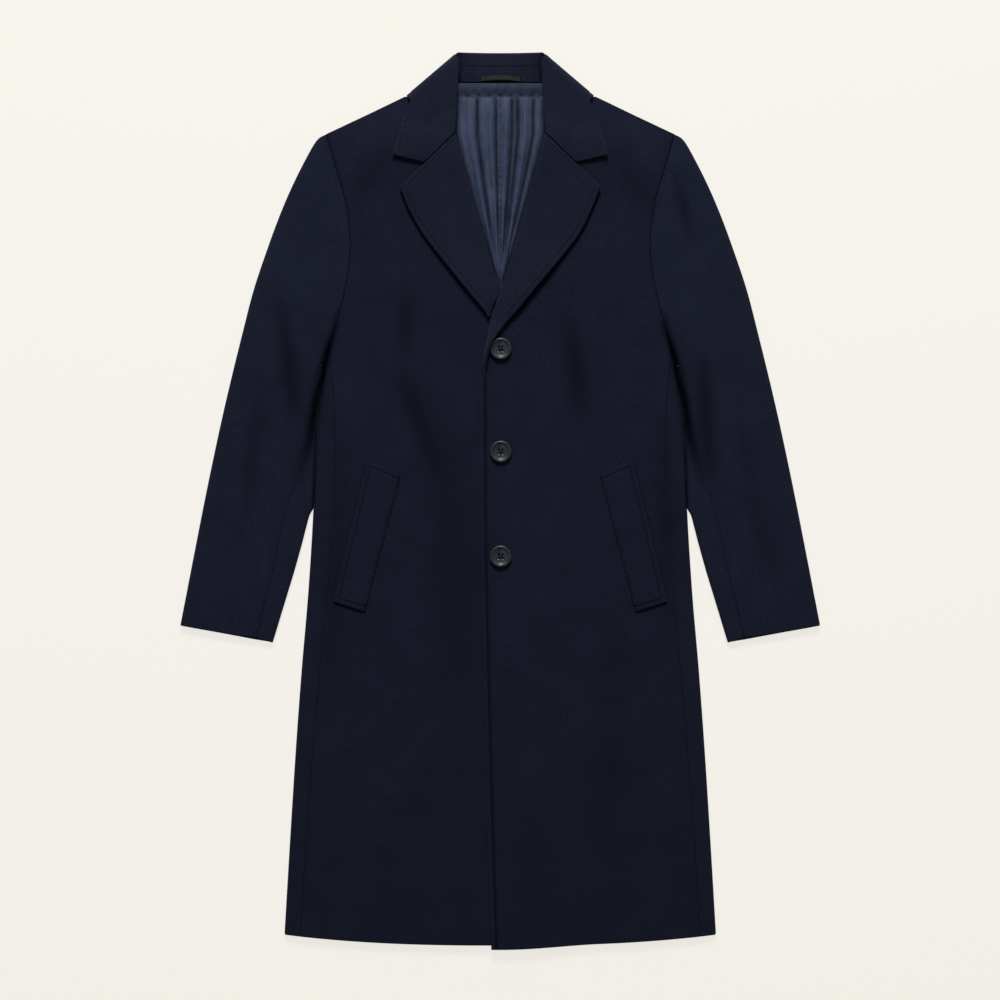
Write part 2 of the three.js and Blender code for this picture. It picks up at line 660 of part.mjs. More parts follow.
// The leaf from its left end, round the fold at the side of the neck, under the back and up again
function collarLeaf() {
  const end = (v) =>
    v < NOTCH_AT
      ? between(GORGE_TOP, NOTCH, v / NOTCH_AT)
      : between(NOTCH, COLLAR_TIP, (v - NOTCH_AT) / (1 - NOTCH_AT));
  const fold = (v) => between(COLLAR_TOP, COLLAR_SIDE, v);
  const normal = new THREE.Vector2(
    COLLAR_SIDE.down - COLLAR_TOP.down,
    -(COLLAR_SIDE.across - COLLAR_TOP.across),
  ).normalize();
  const steps = 5;
  const outer = [];
  const inner = [];
  for (let k = 0; k <= LEAF_COLUMNS; k += 1) {
    const v = k / LEAF_COLUMNS;
    const half = [];
    const restTop = (p) => leafRest(p.across, p.down);
    const f = fold(v);
    const height = restTop(f) + LAY_GAP + WOOL;
    const radius = height / 2;
    const inside = { across: f.across - normal.x * radius, down: f.down - normal.y * radius };
    for (let i = 0; i < steps; i += 1) {
      const p = between(end(v), inside, i / steps);
      p.across += 1.2 * v * Math.sin((Math.PI * i) / steps);
      const z = restTop(p) + LAY_GAP;
      half.push({ x: p.across, down: p.down, outer: z + WOOL, inner: z });
    }
    for (let i = 0; i <= TURN_STEPS; i += 1) {
      const angle = (Math.PI * i) / TURN_STEPS;
      const along = (r) => ({
        x: inside.across + normal.x * r * Math.sin(angle),
        down: inside.down + normal.y * r * Math.sin(angle),
        z: radius + r * Math.cos(angle),
      });
      half.push({ turned: true, out: along(radius), in: along(radius - WOOL) });
    }
    const backEdge = { across: 0, down: mix(COLLAR_TOP.down, LEAF_BACK_DOWN, v) };
    for (let i = 1; i <= 3; i += 1) {
      const p = between(inside, backEdge, i / 3);
      half.push({ x: p.across, down: p.down, outer: 0, inner: WOOL });
    }
    const row = (side, which) =>
      half.map((h) => {
        if (h.turned) return point(side * h[which].x, h[which].down, h[which].z);
        return point(side * h.x, h.down, which === "out" ? h.outer : h.inner);
      });
    outer.push([...row(-1, "out"), ...row(1, "out").reverse().slice(1)]);
    inner.push([...row(-1, "in"), ...row(1, "in").reverse().slice(1)]);
  }
  return joined(wall(outer, inner), collarReturn());
}

// What the leaf's front part rests on: the fronts, and the air over the stand beside the neck
function leafRest(across, down) {
  return Math.max(frontTop(across, Math.max(down, topEdgeAt(across) + 30)), FOLD_HEIGHT + WOOL + LAY_GAP);
}

// The collar folds over its top edge at the back and comes down inside to the stand's seam
function collarReturn() {
  const height = 2 * WOOL + LAY_GAP;
  const outer = [];
  const inner = [];
  const columns = 8;
  for (let i = 0; i <= columns; i += 1) {
    const share = mix(-1, 1, i / columns);
    const x = 57.5 * share;
    const top = 1.2 * (1 - share * share);
    const outerRow = [point(x, 12, 0.02)];
    const innerRow = [point(x, 12, WOOL - 0.02)];
    for (const s of turn(height)) {
      outerRow.push(point(x, top + s.outer.inward, Math.max(0.02, s.outer.z)));
      innerRow.push(point(x, top + s.inner.inward, s.inner.z));
    }
    outerRow.push(point(x, RETURN_DOWN, height));
    innerRow.push(point(x, RETURN_DOWN, height - WOOL));
    outer.push(outerRow);
    inner.push(innerRow);
  }
  return wall(outer, inner);
}

// The stand lies face up at the back neck, under the leaf's two front parts
function collarStand() {
  const points = grid(2, 8, (i, j) => {
    const down = mix(RETURN_DOWN + LAY_GAP, NECK_DEPTH - SEAM_GAP, i / 2);
    const half = mix(54, 66, i / 2);
    return { x: mix(-half, half, j / 8), down };
  });
  return laid(points, () => WOOL + LAY_GAP, WOOL);
}

// Two closed geometries as one solid
function joined(a, b) {
  const solid = (g) =>
    new wasm.Manifold(
      new wasm.Mesh({
        numProp: 3,
        vertProperties: new Float32Array(g.attributes.position.array),
        triVerts: new Uint32Array(g.index.array),
      }),
    );
  return fromSolid(solid(a).add(solid(b)));
}

function fromSolid(solid) {
  const mesh = solid.getMesh();
  const geometry = new THREE.BufferGeometry();
  geometry.setAttribute("position", new THREE.BufferAttribute(new Float32Array(mesh.vertProperties), 3));
  geometry.setIndex(new THREE.BufferAttribute(new Uint32Array(mesh.triVerts), 1));
  geometry.computeVertexNormals();
  return geometry;
}

// What lies on the panels

function backLining() {
  const rows = 14;
  const columns = 26;
  const points = grid(rows, columns, (i, j) => {
    const down = mix(NECK_DEPTH + SEAM_GAP, LINING_END, i / rows);
    const roll = atDown(LAPEL_SECTIONS, "roll", "rollDown", down);
    const half = down < LAPEL_SECTIONS[0].rollDown ? 66 : Math.max(15, roll + 9);
    return { x: mix(-half, half, j / columns), down, half };
  });
  const height = (x, down) => {
    const roll = Math.max(4, atDown(LAPEL_SECTIONS, "roll", "rollDown", down));
    const open = 1 - smooth(0.55, 1.05, Math.abs(x) / roll);
    const ease = smooth(NECK_DEPTH, NECK_DEPTH + 30, down) * (1 - smooth(240, 310, down));
    const taper = roll / LAPEL_SECTIONS[0].roll;
    let fold = 0;
    for (const f of LINING_FOLDS) {
      fold += f.height * Math.exp(-(((x - f.across * taper) / (f.width * mix(0.6, 1, taper))) ** 2));
    }
    return WOOL + LAPEL_GAP + backLift(x, down) + 0.6 * open + fold * open * ease;
  };
  return laid(points, height, LINING);
}

function pocketWelt(side) {
  const top = topOfSide(side);
  const points = grid(6, 2, (i, j) => {
    const a = between(WELT_TOP_OUTER, WELT_TOP_INNER, j / 2);
    const b = between(WELT_LOW_OUTER, WELT_LOW_INNER, j / 2);
    const p = between(a, b, i / 6);
    return { x: side * p.across, down: p.down };
  });
  return laid(points, (x, down) => top(x, down) + LAY_GAP, WELT);
}

function hangerLoop() {
  const { half, top, low, thick, arch } = LOOP;
  const points = grid(1, 12, (i, j) => ({ x: mix(-half, half, j / 12), down: mix(top, low, i) }));
  const rest = 2 * WOOL + 2 * LAY_GAP;
  return laid(points, (x) => rest + arch * smooth(0, 8, half - Math.abs(x)), thick);
}

// A four-hole button with a raised rim and a dished middle
function buttonShape() {
  const r = BUTTON_WIDTH / 2;
  const h = BUTTON_HEIGHT;
  const profile = [
    [0, 0],
    [r - 4, 0],
    [r - 1.2, 0.9],
    [r, 2.2],
    [r - 0.5, h - 0.7],
    [r - 1.8, h],
    [r - 3.2, h - 0.5],
    [r - 4.4, h - 1.9],
    [r - 7, h - 2.3],
    [0, h - 2.3],
  ].map(([x, y]) => new THREE.Vector2(x, y));
  const body = new THREE.LatheGeometry(profile, 28);
  body.rotateX(Math.PI / 2);
  let solid = closedSolid(body);
  const holeRadius = 1.2;
  const holeReach = 2.1;
  for (const [sx, sy] of [[1, 1], [1, -1], [-1, 1], [-1, -1]]) {
    const hole = new THREE.CylinderGeometry(holeRadius, holeRadius, 3 * h, 8);
    hole.rotateX(Math.PI / 2);
    hole.translate(sx * holeReach, sy * holeReach, 0);
    solid = solid.subtract(closedSolid(hole));
  }
  return fromSolid(solid);
}

// A three.js shape as a manifold-3d solid, with shared corners merged
function closedSolid(shape) {
  const source = shape.toNonIndexed().attributes.position;
  const seen = new Map();
  const vertices = [];
  const triangles = [];
  for (let i = 0; i < source.count; i += 3) {
    const corner = [0, 1, 2].map((k) => {
      const p = [source.getX(i + k), source.getY(i + k), source.getZ(i + k)];
      const key = p.map((v) => Math.round(v * 1e4)).join(",");
      if (!seen.has(key)) {
        seen.set(key, vertices.length / 3);
        vertices.push(...p);
      }
      return seen.get(key);
    });
    if (new Set(corner).size === 3) triangles.push(...corner);
  }
  const geometry = new THREE.BufferGeometry();
  geometry.setAttribute("position", new THREE.Float32BufferAttribute(vertices, 3));
  geometry.setIndex(triangles);
  facingOut(geometry);
  return new wasm.Manifold(
    new wasm.Mesh({
      numProp: 3,
      vertProperties: new Float32Array(geometry.attributes.position.array),
      triVerts: new Uint32Array(geometry.index.array),
    }),
  );
}

// Assembly

const navy = { color: 0x1b1f2e, roughness: 0.95, metalness: 0 };
const MATERIALS = {
  wool: navy,
  facing: { ...navy, color: 0x1d2130 },
  lining: { color: 0x3a4258, roughness: 0.45, metalness: 0 },
  horn: { color: 0x33353a, roughness: 0.35, metalness: 0 },
  tape: { color: 0x24272d, roughness: 0.6, metalness: 0 },
};

const coat = new THREE.Group();

function add(name, geometry, finish) {
  const mesh = new THREE.Mesh(geometry, new THREE.MeshStandardMaterial(MATERIALS[finish]));
  mesh.name = name;
  coat.add(mesh);
  return mesh;
}

const SIDES = { left: 1, right: -1 };
for (const [name, side] of Object.entries(SIDES)) {
  add(`back_${name}`, backPanel(side), "wool");
  add(`side_${name}`, sidePanel(side), "wool");
  add(`front_${name}`, frontPanel(side), "wool");
  add(`sleeve_top_${name}`, sleeve(side, true), "wool");
  add(`sleeve_under_${name}`, sleeve(side, false), "wool");
  add(`facing_${name}`, facing(side, side > 0 ? LAPEL_SECTIONS : COVERED_LAPEL), "facing");
  add(`pocket_welt_${name}`, pocketWelt(side), "wool");
}
add("collar_leaf", collarLeaf(), "facing");
add("collar_stand", collarStand(), "facing");
add("back_lining", backLining(), "lining");
add("hanger_loop", hangerLoop(), "tape");

const button = buttonShape();
BUTTON_DOWN.forEach((down, i) => {
  const mesh = add(`button_${i + 1}`, button, "horn");
  const reach = BUTTON_WIDTH / 2;
  const around = [-1, 0, 1].flatMap((a) => [-1, 0, 1].map((b) => [a * reach, b * reach]));
  const rest = Math.max(...around.map(([a, b]) => upperTop(BUTTON_ACROSS + a, down + b)));
  mesh.position.copy(point(BUTTON_ACROSS, down, rest + LAY_GAP));
});

export default coat;
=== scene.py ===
import math
import random

import bpy
import numpy as np
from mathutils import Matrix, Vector


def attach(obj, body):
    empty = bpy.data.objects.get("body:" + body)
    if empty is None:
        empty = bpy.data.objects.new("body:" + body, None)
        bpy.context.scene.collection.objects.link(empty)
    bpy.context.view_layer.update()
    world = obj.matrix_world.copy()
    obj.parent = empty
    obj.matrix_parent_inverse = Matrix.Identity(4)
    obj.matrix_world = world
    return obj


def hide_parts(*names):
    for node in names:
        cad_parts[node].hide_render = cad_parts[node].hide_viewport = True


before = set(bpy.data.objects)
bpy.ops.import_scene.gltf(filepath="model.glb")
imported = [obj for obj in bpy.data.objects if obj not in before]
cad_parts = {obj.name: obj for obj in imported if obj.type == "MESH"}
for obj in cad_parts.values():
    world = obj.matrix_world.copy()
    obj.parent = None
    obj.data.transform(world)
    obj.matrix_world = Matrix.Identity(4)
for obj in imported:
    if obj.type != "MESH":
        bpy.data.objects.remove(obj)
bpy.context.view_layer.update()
random.seed(7)

# The coat's shapes are worked out in millimetres: x to the wearer's left, down from the collar's top
# fold to the hem, z up from the floor.

LENGTH = 1148
WOOL = 3.0
LAPEL = 3.8
COLLAR = 3.2
WELT = 2.6
LINING = 1.0
SEAM_GAP = 0.12
ARM_GAP = 0.03
LAY_GAP = 0.3
FOLD_HEIGHT = 6.8
RADIUS = FOLD_HEIGHT / 2
PUFF = 2.6

NECK_POINT = (90, 63.5)
COLLAR_CROSSING = (121.5, 55.6)
NECK_DEPTH = 38
SHOULDER_POINT = (223, 103.5)
UNDERARM_DOWN = 400
FRONT_SEAM_AT = 0.93
BACK_SEAM_AT = 0.8
HEM_MIDDLE, HEM_RISE, HEM_HALF, HEM_SAG = 1142.8, 13.3, 272, 5.2
BACK_HEM_INSET = 1.2
ROLL_WALL = 2.6

COLLAR_TOP = (58.4, 1.6)
COLLAR_SIDE = (120.5, 54.5)
COLLAR_TIP = (138, 131.5)
NOTCH = (96.6, 141)
GORGE_TOP = (57.6, 103)
NOTCH_AT = 0.5
LEAF_BACK_DOWN = 50
RETURN_DOWN = 16.4

BUTTONS_DOWN = (378.5, 510, 644)
BUTTON_ACROSS = 0.6
BUTTON_RADIUS = 14
BUTTON_HEIGHT = 4.6

STITCH_IN = 6.0  # topstitching, in from a finished edge
ARM_STEPS = 8
SEAM_STEPS = 11


def table(names, *rows):
    return dict(zip(names.split(), np.array(rows, float).T))


ARMHOLE = table(
    "across down back",
    (223, 103.5, 223),
    (210.5, 147, 214),
    (198.5, 189, 207.5),
    (192.6, 231, 204),
    (194, 273, 204),
    (202, 315, 208),
    (214, 357, 215.5),
    (228, 400, 228),
)
SIDE = table(
    "down fold front back front_down back_down",
    (400, 228, 219.5, 211, 380, 345),
    (466, 235, 212, 196, 466, 466),
    (585, 239.5, 213, 186, 585, 585),
    (690, 246, 221, 184, 690, 690),
    (790, 254.5, 230.5, 186, 790, 790),
    (892, 262, 239.5, 189, 892, 892),
    (1010, 269.5, 248.5, 193, 1010, 1010),
    (1128, 276.5, 256, 198, 1131, 1134),
)
LAPEL_ROWS = table(
    "roll roll_down edge edge_down belly turn",
    (57, 104, 128, 172, 0, 1),
    (51.5, 127, 115, 200, 2, 1),
    (40, 170, 93, 232, 8, 1),
    (25, 222, 70.5, 264, 6, 1),
    (11, 270, 47, 297, 2, 1),
    (-1.5, 309, 24.5, 327, 0, 1),
    (-11, 337, 3.5, 351, 0, 1),
    (-16.5, 364, -10, 371, 0, 1),
    (-22.3, 390, -16.4, 392, 0, 1),
    (-25.6, 410, -19.6, 414, 0, 1),
)
UNDER_LAPEL_ROWS = table(
    "roll roll_down edge edge_down belly turn",
    (57, 104, 128, 172, 0, 1),
    (51.5, 127, 115, 200, 2, 1),
    (40, 170, 93, 232, 6, 1),
    (25, 222, 70.5, 264, 4, 1),
    (11, 270, 47, 297, 1, 1),
    (0.8, 303, 30, 319, 0, 0),
    (7.4, 322, 20.5, 330, 0, 0),
    (12.4, 336.5, 16, 338, 0, 0),
)
FRONT_EDGE = table(
    "across down",
    (-26.2, 412),
    (-26.2, 509),
    (-25, 644),
    (-21, 828),
    (-16.5, 990),
    (-11.5, 1148),
)
SLEEVE = table(
    "outer outer_down inner_down seam",
    (223.6, 103.6, 400.3, 7),
    (236, 112, 411, 7),
    (252, 140, 425, 7),
    (269, 175, 444, 7),
    (284, 211, 466, 7.5),
    (299, 252, 492, 10.5),
    (316, 303, 524, 17.5),
    (331, 361, 560, 26),
    (346, 422, 596, 31),
    (360, 483, 625, 30.5),
    (376, 559, 662, 27),
    (392, 640, 706, 25),
    (410, 733, 755, 22),
)
SLEEVE_GAP = table(
    "down gap",
    (400, 0.008),
    (584, 0.008),
    (588, 2.8),
    (592, 4.6),
    (597, 5.8),
    (603, 7.0),
    (613, 9.1),
    (625, 11.4),
    (662, 19.3),
    (706, 29.5),
    (755, 40),
)
# The valley between a sleeve and the body, and the folds that lead from it: a dip in the cloth, with painted
# shade along it
VALLEY = table(
    "across down depth width",
    (206, 325, 0.0, 5),
    (212, 354, 1.7, 5),
    (222.5, 387, 2.6, 5),
    (229, 419, 2.6, 6),
    (235, 444, 2.4, 7),
    (243.5, 495, 1.9, 8),
    (252, 530, 0.8, 7),
    (262, 570, 0.0, 5),
)
# Soft creases: place, half length, half width, height, and the slant across per unit down
CREASES = table(
    "across down reach width height slant",
    (-123, 345, 55, 13, -1.9, 0.0),
    (-106, 470, 90, 15, -1.5, 0.35),
    (-140, 300, 130, 24, 0.8, 0.1),
    (96, 400, 80, 15, -1.7, 0.1),
    (128, 330, 110, 22, 0.8, 0.0),
    (-62, 640, 220, 30, -0.9, 0.05),
    (62, 770, 260, 34, 0.8, -0.04),
    (-150, 860, 240, 26, 0.8, 0.03),
    (140, 900, 230, 26, -0.5, -0.03),
    (-40, 1000, 160, 22, 0.7, 0.0),
    (48, 1040, 120, 22, -0.4, 0.0),
    (-210, 640, 180, 15, -0.9, -0.05),
    (212, 600, 150, 14, -0.9, 0.05),
    (-270, 400, 85, 12, -2.0, 0.1),
    (-262, 330, 60, 10, 0.9, 0.0),
    (264, 470, 90, 11, -1.9, 0.05),
    (288, 420, 80, 10, 0.9, 0.1),
    (236, 205, 50, 8, -1.4, 0.25),
    (-318, 520, 110, 12, -1.1, -0.15),
    (322, 560, 120, 12, -0.6, 0.15),
    (-352, 640, 90, 13, 0.9, -0.2),
    (350, 650, 90, 12, -0.4, 0.2),
    (-170, 165, 55, 18, -0.8, -0.4),
    (168, 160, 50, 18, -0.8, 0.4),
)
LINING_FOLDS = table(
    "across width height",
    (-54, 3.5, 1.2),
    (-39.5, 5, 2.9),
    (-29.5, 3, -1.8),
    (-22, 2.8, 0.8),
    (-12.5, 3.4, 2.6),
    (-5.5, 2.4, -1.2),
    (7.5, 3.4, 2.9),
    (15, 2.6, -1.6),
    (22.5, 3, -1.8),
    (32, 4.2, 3.1),
    (42, 2.8, -1.4),
    (50, 3.2, 1.6),
)
# Pocket welt corners: top outer, top inner, low outer, low inner
WELT_CORNERS = ((169.5, 521), (127.5, 540), (213.5, 702), (173, 715))


# Small mathematics, on arrays
def mix(a, b, t):
    return a + (b - a) * t


def smooth(low, high, t):
    s = np.clip((np.asarray(t, float) - low) / (high - low), 0, 1)
    return s * s * (3 - 2 * s)


def rise(distance, length):
    return 1 - np.exp(-np.maximum(0, distance) / length)


def spline(values):
    """A smooth curve through evenly spaced values, for t from 0 to 1."""
    v = np.asarray(values, float)
    last = len(v) - 1

    def at(t):
        p = np.clip(t, 0, 1) * last
        i = np.minimum(np.floor(p).astype(int), last)
        w = p - i
        p0, p1 = v[np.maximum(i - 1, 0)], v[i]
        p2, p3 = v[np.minimum(i + 1, last)], v[np.minimum(i + 2, last)]
        v0, v1 = (p2 - p0) / 2, (p3 - p1) / 2
        return (
            (2 * p1 - 2 * p2 + v0 + v1) * w**3
            + (-3 * p1 + 3 * p2 - 2 * v0 - v1) * w**2
            + v0 * w
            + p1
        )

    return at


def path(rows, across, down):
    a, d = spline(rows[across]), spline(rows[down])
    return lambda t: np.stack([a(t), d(t)], -1)


armhole = path(ARMHOLE, "across", "down")
back_armhole = path(ARMHOLE, "back", "down")
fold_line = path(SIDE, "fold", "down")
front_seam = path(SIDE, "front", "front_down")
back_seam = path(SIDE, "back", "back_down")
front_edge = path(FRONT_EDGE, "across", "down")
roll_line = path(LAPEL_ROWS, "roll", "roll_down")

FINE = np.linspace(0, 1, 400)
BODY_LINE = np.concatenate([armhole(FINE), fold_line(FINE)[1:]])
FOLD_LINE = fold_line(FINE)


def half_width(down):
    return np.interp(down, BODY_LINE[:, 1], BODY_LINE[:, 0])


def roll_at(down):
    return np.interp(down, LAPEL_ROWS["roll_down"], LAPEL_ROWS["roll"])


def hem_at(across):
    return HEM_MIDDLE - HEM_RISE * (np.abs(across) / HEM_HALF) ** 2.5


def top_edge_at(across):
    a = np.abs(across)
    neck = NECK_DEPTH + (NECK_POINT[1] - NECK_DEPTH) * (a / NECK_POINT[0]) ** 4
    line = np.interp(
        a,
        [NECK_POINT[0], COLLAR_CROSSING[0], SHOULDER_POINT[0]],
        [NECK_POINT[1], COLLAR_CROSSING[1], SHOULDER_POINT[1]],
    )
    return np.where(a < NECK_POINT[0], neck, line)


def waves(seed, wavelength, count=9):
    """A gentle unevenness of height about 1, from a few seeded waves."""
    rng = random.Random(seed)
    terms = []
    for _ in range(count):
        angle = rng.uniform(0, math.pi)
        k = 2 * math.pi / (wavelength * rng.uniform(0.7, 1.6))
        terms.append((k * math.cos(angle), k * math.sin(angle), rng.uniform(0, 6.28)))
    return lambda x, y: sum(np.sin(a * x + b * y + c) for a, b, c in terms) / math.sqrt(count)


uneven = waves(3, 150)
uneven_fine = waves(11, 42)


def crease_at(x, down):
    total = 0
    c = CREASES
    for k in range(len(c["across"])):
        along = np.clip(1 - ((down - c["down"][k]) / c["reach"][k]) ** 2, 0, 1)
        off = x - c["across"][k] - c["slant"][k] * (down - c["down"][k])
        total = total + c["height"][k] * along * np.exp(-((off / c["width"][k]) ** 2))
    return total


def valley_at(x, down):
    """Depth of the valley between a sleeve and the body."""
    across, depth, width = (np.interp(down, VALLEY["down"], VALLEY[k]) for k in ("across", "depth", "width"))
    return depth * np.exp(-(((np.abs(x) - across) / width) ** 2))


def back_lift(x, down):
    return 3.4 * (1 - smooth(100, 190, down)) * (1 - smooth(118, 180, np.abs(x)))


def front_top(x, down):
    across = np.abs(x)
    arm_share = np.clip((down - SHOULDER_POINT[1]) / (UNDERARM_DOWN - SHOULDER_POINT[1]), 0, 1)
    from_side = half_width(down) - across + 8 * np.sin(math.pi * arm_share)
    from_shoulder = down - top_edge_at(across)
    from_hem = hem_at(across) - down
    hem_share = 0.35 + 0.65 * rise(from_hem, 40)
    crown = PUFF * rise(from_side, 22) * rise(from_shoulder, 16) * hem_share
    crown = crown + 5.2 * smooth(0, 62, from_shoulder) * (1 - smooth(62, 330, from_shoulder)) * rise(
        from_side, 20
    )
    from_roll = across - roll_at(down)
    opened = 0.7 * (1 - smooth(20, 80, from_roll)) * (1 - smooth(330, 420, down))
    soft = (crease_at(x, down) + 0.4 * uneven(x, down) + 0.16 * uneven_fine(x, down)) * rise(
        from_side, 12
    )
    top = FOLD_HEIGHT + back_lift(x, down) + crown + opened + soft * hem_share
    return top - valley_at(x, down)


def upper_top(x, down):
    near = 1 - smooth(30, 125, x)
    return front_top(x, down) + (WOOL + 0.4) * near * smooth(190, 308, down)


def top_of_side(side):
    return upper_top if side > 0 else front_top


# Grids of points and the marks of sewing on them


def ends(values, near_start, near_end, length):
    """Shares from 0 to 1 over a length, close together near both ends."""
    a, b = np.array(near_start, float), np.array(near_end, float)
    middle = np.linspace(a[-1], length - b[-1], values + 2)[1:-1]
    return np.concatenate([a, middle, length - b[::-1]]) / length


def row_shares(width, near_start, near_end, count):
    """As ends, for an array of row widths: one row of shares for each."""
    rows = []
    for w in width:
        fit = min(1, 0.44 * w / near_start[-1]), min(1, 0.44 * w / near_end[-1])
        rows.append(
            ends(count, np.array(near_start) * fit[0], np.array(near_end) * fit[1], w)
        )
    return np.array(rows)


def distances(points):
    """Distances from the four edges of a grid: first column, last column, first row, last row."""
    flat = points[..., :2]
    along = np.linalg.norm(np.diff(flat, axis=1), axis=-1)
    down = np.linalg.norm(np.diff(flat, axis=0), axis=-1)
    left = np.concatenate([np.zeros((len(flat), 1)), np.cumsum(along, 1)], 1)
    top = np.concatenate([np.zeros((1, flat.shape[1])), np.cumsum(down, 0)], 0)
    return left, left[:, -1:] - left, top, top[-1:] - top


def rounding(distance, radius):
    d = np.clip(distance, 0, radius)
    return radius - np.sqrt(np.maximum(0, radius**2 - (radius - d) ** 2))


def groove(distance, at=STITCH_IN, width=0.8, depth=0.8):
    return depth * np.exp(-(((distance - at) / width) ** 2))


def hollow_shade(x, down, off_fold):
    """Painted shade values in the hollow between a sleeve and the body, small where it is deepest, and in
    the creases.
    """
    beyond = 3 * smooth(575, 592, down) + 60 * (1 - smooth(392, 401, down))
    beside = 0.9 * np.maximum(0, off_fold) - 1.2 + beyond
    return np.minimum(beside, 1.9 - 1.45 * valley_at(x, down) + 0.9 * np.minimum(0, crease_at(x, down)))


def lapel_shade(side, x, down):
    """Shade values on a front beside its lapel: the shadow widens down the lapel's edge."""
    rows = LAPEL_ROWS if side > 0 else UNDER_LAPEL_ROWS
    edge = path(rows, "edge", "edge_down")(FINE)
    edge[:, 0] += spline(rows["belly"])(FINE)
    end = 352 if side > 0 else 334
    width = mix(2.6, 6.2 if side > 0 else 3.6, smooth(190, 300, down))
    off = 0.78 * (side * x - np.interp(down, edge[:, 1], edge[:, 0]))
    away = 6 * (1 - smooth(172, 182, down)) + 6 * smooth(end - 14, end, down)
    return 3.0 * np.maximum(0, off) / width - 1.1 + away


def welt_shade(across, down):
    """Shade values on a front outside the free long edge of its welt."""
    (x0, d0), _, (x1, d1), _ = WELT_CORNERS
    length = math.hypot(x1 - x0, d1 - d0)
    off = ((across - x0) * (d1 - d0) - (down - d0) * (x1 - x0)) / length
    along = ((across - x0) * (x1 - x0) + (down - d0) * (d1 - d0)) / length
    away = 3 * smooth(4, 0, along) + 3 * smooth(length - 2, length + 2, along)
    return 0.3 + 0.5 * np.abs(off) + away


def line_shade(distance, more=0, inside=STITCH_IN):
    """Distance to a stitch line, as a painted shade value: painted shade in the stitch line's groove."""
    return np.abs(distance - inside) * 1.2 + 0.9 + more


def stitched_edge(distance, inside=STITCH_IN):
    """Height lost beside a topstitched edge: the stitch line's groove and a thinner margin."""
    return groove(distance, inside) + 0.25 * (1 - smooth(inside * 0.5, inside * 1.1, distance))


EDGE_FINE = (0, 0.25, 0.6, 1.1, 1.8, 3, 5, 8, 12)
SEAM_FINE = (0, 0.25, 0.6, 1.1, 1.8, 2.8, 4.5, 7, 11)
STITCH_FINE = (0, 0.25, 0.6, 1.1, 1.8, 3, 4.4, 5.1, 5.6, 6, 6.4, 6.9, 7.6, 9, 12)


# Mesh building

objects = {}
upper_grids = {}


def shell(name, top, bottom, uv, edge=None):
    """A closed mesh between an upper and a lower grid of points in millimetres (x, down, z)."""
    upper_grids[name] = top
    rows, columns = top.shape[:2]
    count = rows * columns
    points = np.concatenate([top.reshape(-1, 3), bottom.reshape(-1, 3)])
    world = np.stack([points[:, 0], LENGTH / 2 - points[:, 1], points[:, 2]], -1) / 1000
    index = np.arange(count).reshape(rows, columns)
    a, b, c, d = index[:-1, :-1], index[1:, :-1], index[1:, 1:], index[:-1, 1:]
    upper = np.stack([a, b, c, d], -1).reshape(-1, 4)
    lower = np.stack([a, d, c, b], -1).reshape(-1, 4) + count
    rim = np.concatenate(
        [index[0], index[1:, -1], index[-1, -2::-1], index[-2:0:-1, 0]]
    )
    after = np.roll(rim, -1)
    side = np.stack([rim, after, after + count, rim + count], -1)
    faces = np.concatenate([upper, lower, side])
    p, q, r = world[faces[:, 0]], world[faces[:, 1]], world[faces[:, 2]]
    s = world[faces[:, 3]]
    volume = (p * np.cross(q, r)).sum() + (p * np.cross(r, s)).sum()
    if volume < 0:
        faces = faces[:, ::-1]
    mesh = bpy.data.meshes.new(name)
    mesh.vertices.add(len(world))
    mesh.vertices.foreach_set("co", world.astype(np.float32).ravel())
    mesh.loops.add(faces.size)
    mesh.loops.foreach_set("vertex_index", faces.astype(np.int32).ravel())
    mesh.polygons.add(len(faces))
    mesh.polygons.foreach_set("loop_start", (np.arange(len(faces)) * 4).astype(np.int32))
    mesh.update(calc_edges=True)
    mesh.validate()
    mesh.polygons.foreach_set("use_smooth", np.ones(len(mesh.polygons), bool))
    layer = mesh.uv_layers.new(name="cloth")
    both = np.concatenate([uv.reshape(-1, 2)] * 2) / 1000
    used = np.zeros(len(mesh.loops), np.int32)
    mesh.loops.foreach_get("vertex_index", used)
    layer.data.foreach_set("uv", both[used].astype(np.float32).ravel())
    # The edge attribute carries painted shade values for the materials: low where shade is painted, 50 where
    # none is.
    near = mesh.attributes.new("edge", "FLOAT", "POINT")
    values = np.full(2 * count, 50.0) if edge is None else np.concatenate([edge.ravel()] * 2)
    near.data.foreach_set("value", values.astype(np.float32))
    obj = bpy.data.objects.new(f"coat_{name}", mesh)
    bpy.context.scene.collection.objects.link(obj)
    objects[name] = obj
    return obj


def grid_uv(points):
    left, _, top, _ = distances(points)
    return np.stack([left, top], -1)


def laid(
    name, points, height, thickness, lower=None, top_round=1.4, low_round=1.1, detail=0, dark=None, joined=0
):
    """A cloth panel lying at a height: rounded edges, less the detail that is taken off its face."""
    left, right, first, last = distances(points)
    d = np.minimum(np.minimum(left + joined, right), np.minimum(first, last))
    base = height(points[..., 0], points[..., 1])
    top = base + thickness - rounding(d, top_round) - detail
    bottom = (base if lower is None else np.maximum(base, lower)) + rounding(d, low_round)
    stack = lambda z: np.concatenate([points, z[..., None]], -1)
    # Painted shade: the edge attribute is the distance to the edges, so seam ditches get painted shade,
    # unless dark gives other painted shade values.
    return shell(name, stack(top), stack(bottom), grid_uv(points), d if dark is None else dark)


# Body panels


def wall_inset(down):
    return mix(ROLL_WALL, 0.8, smooth(350, 400, down)) + 0.5


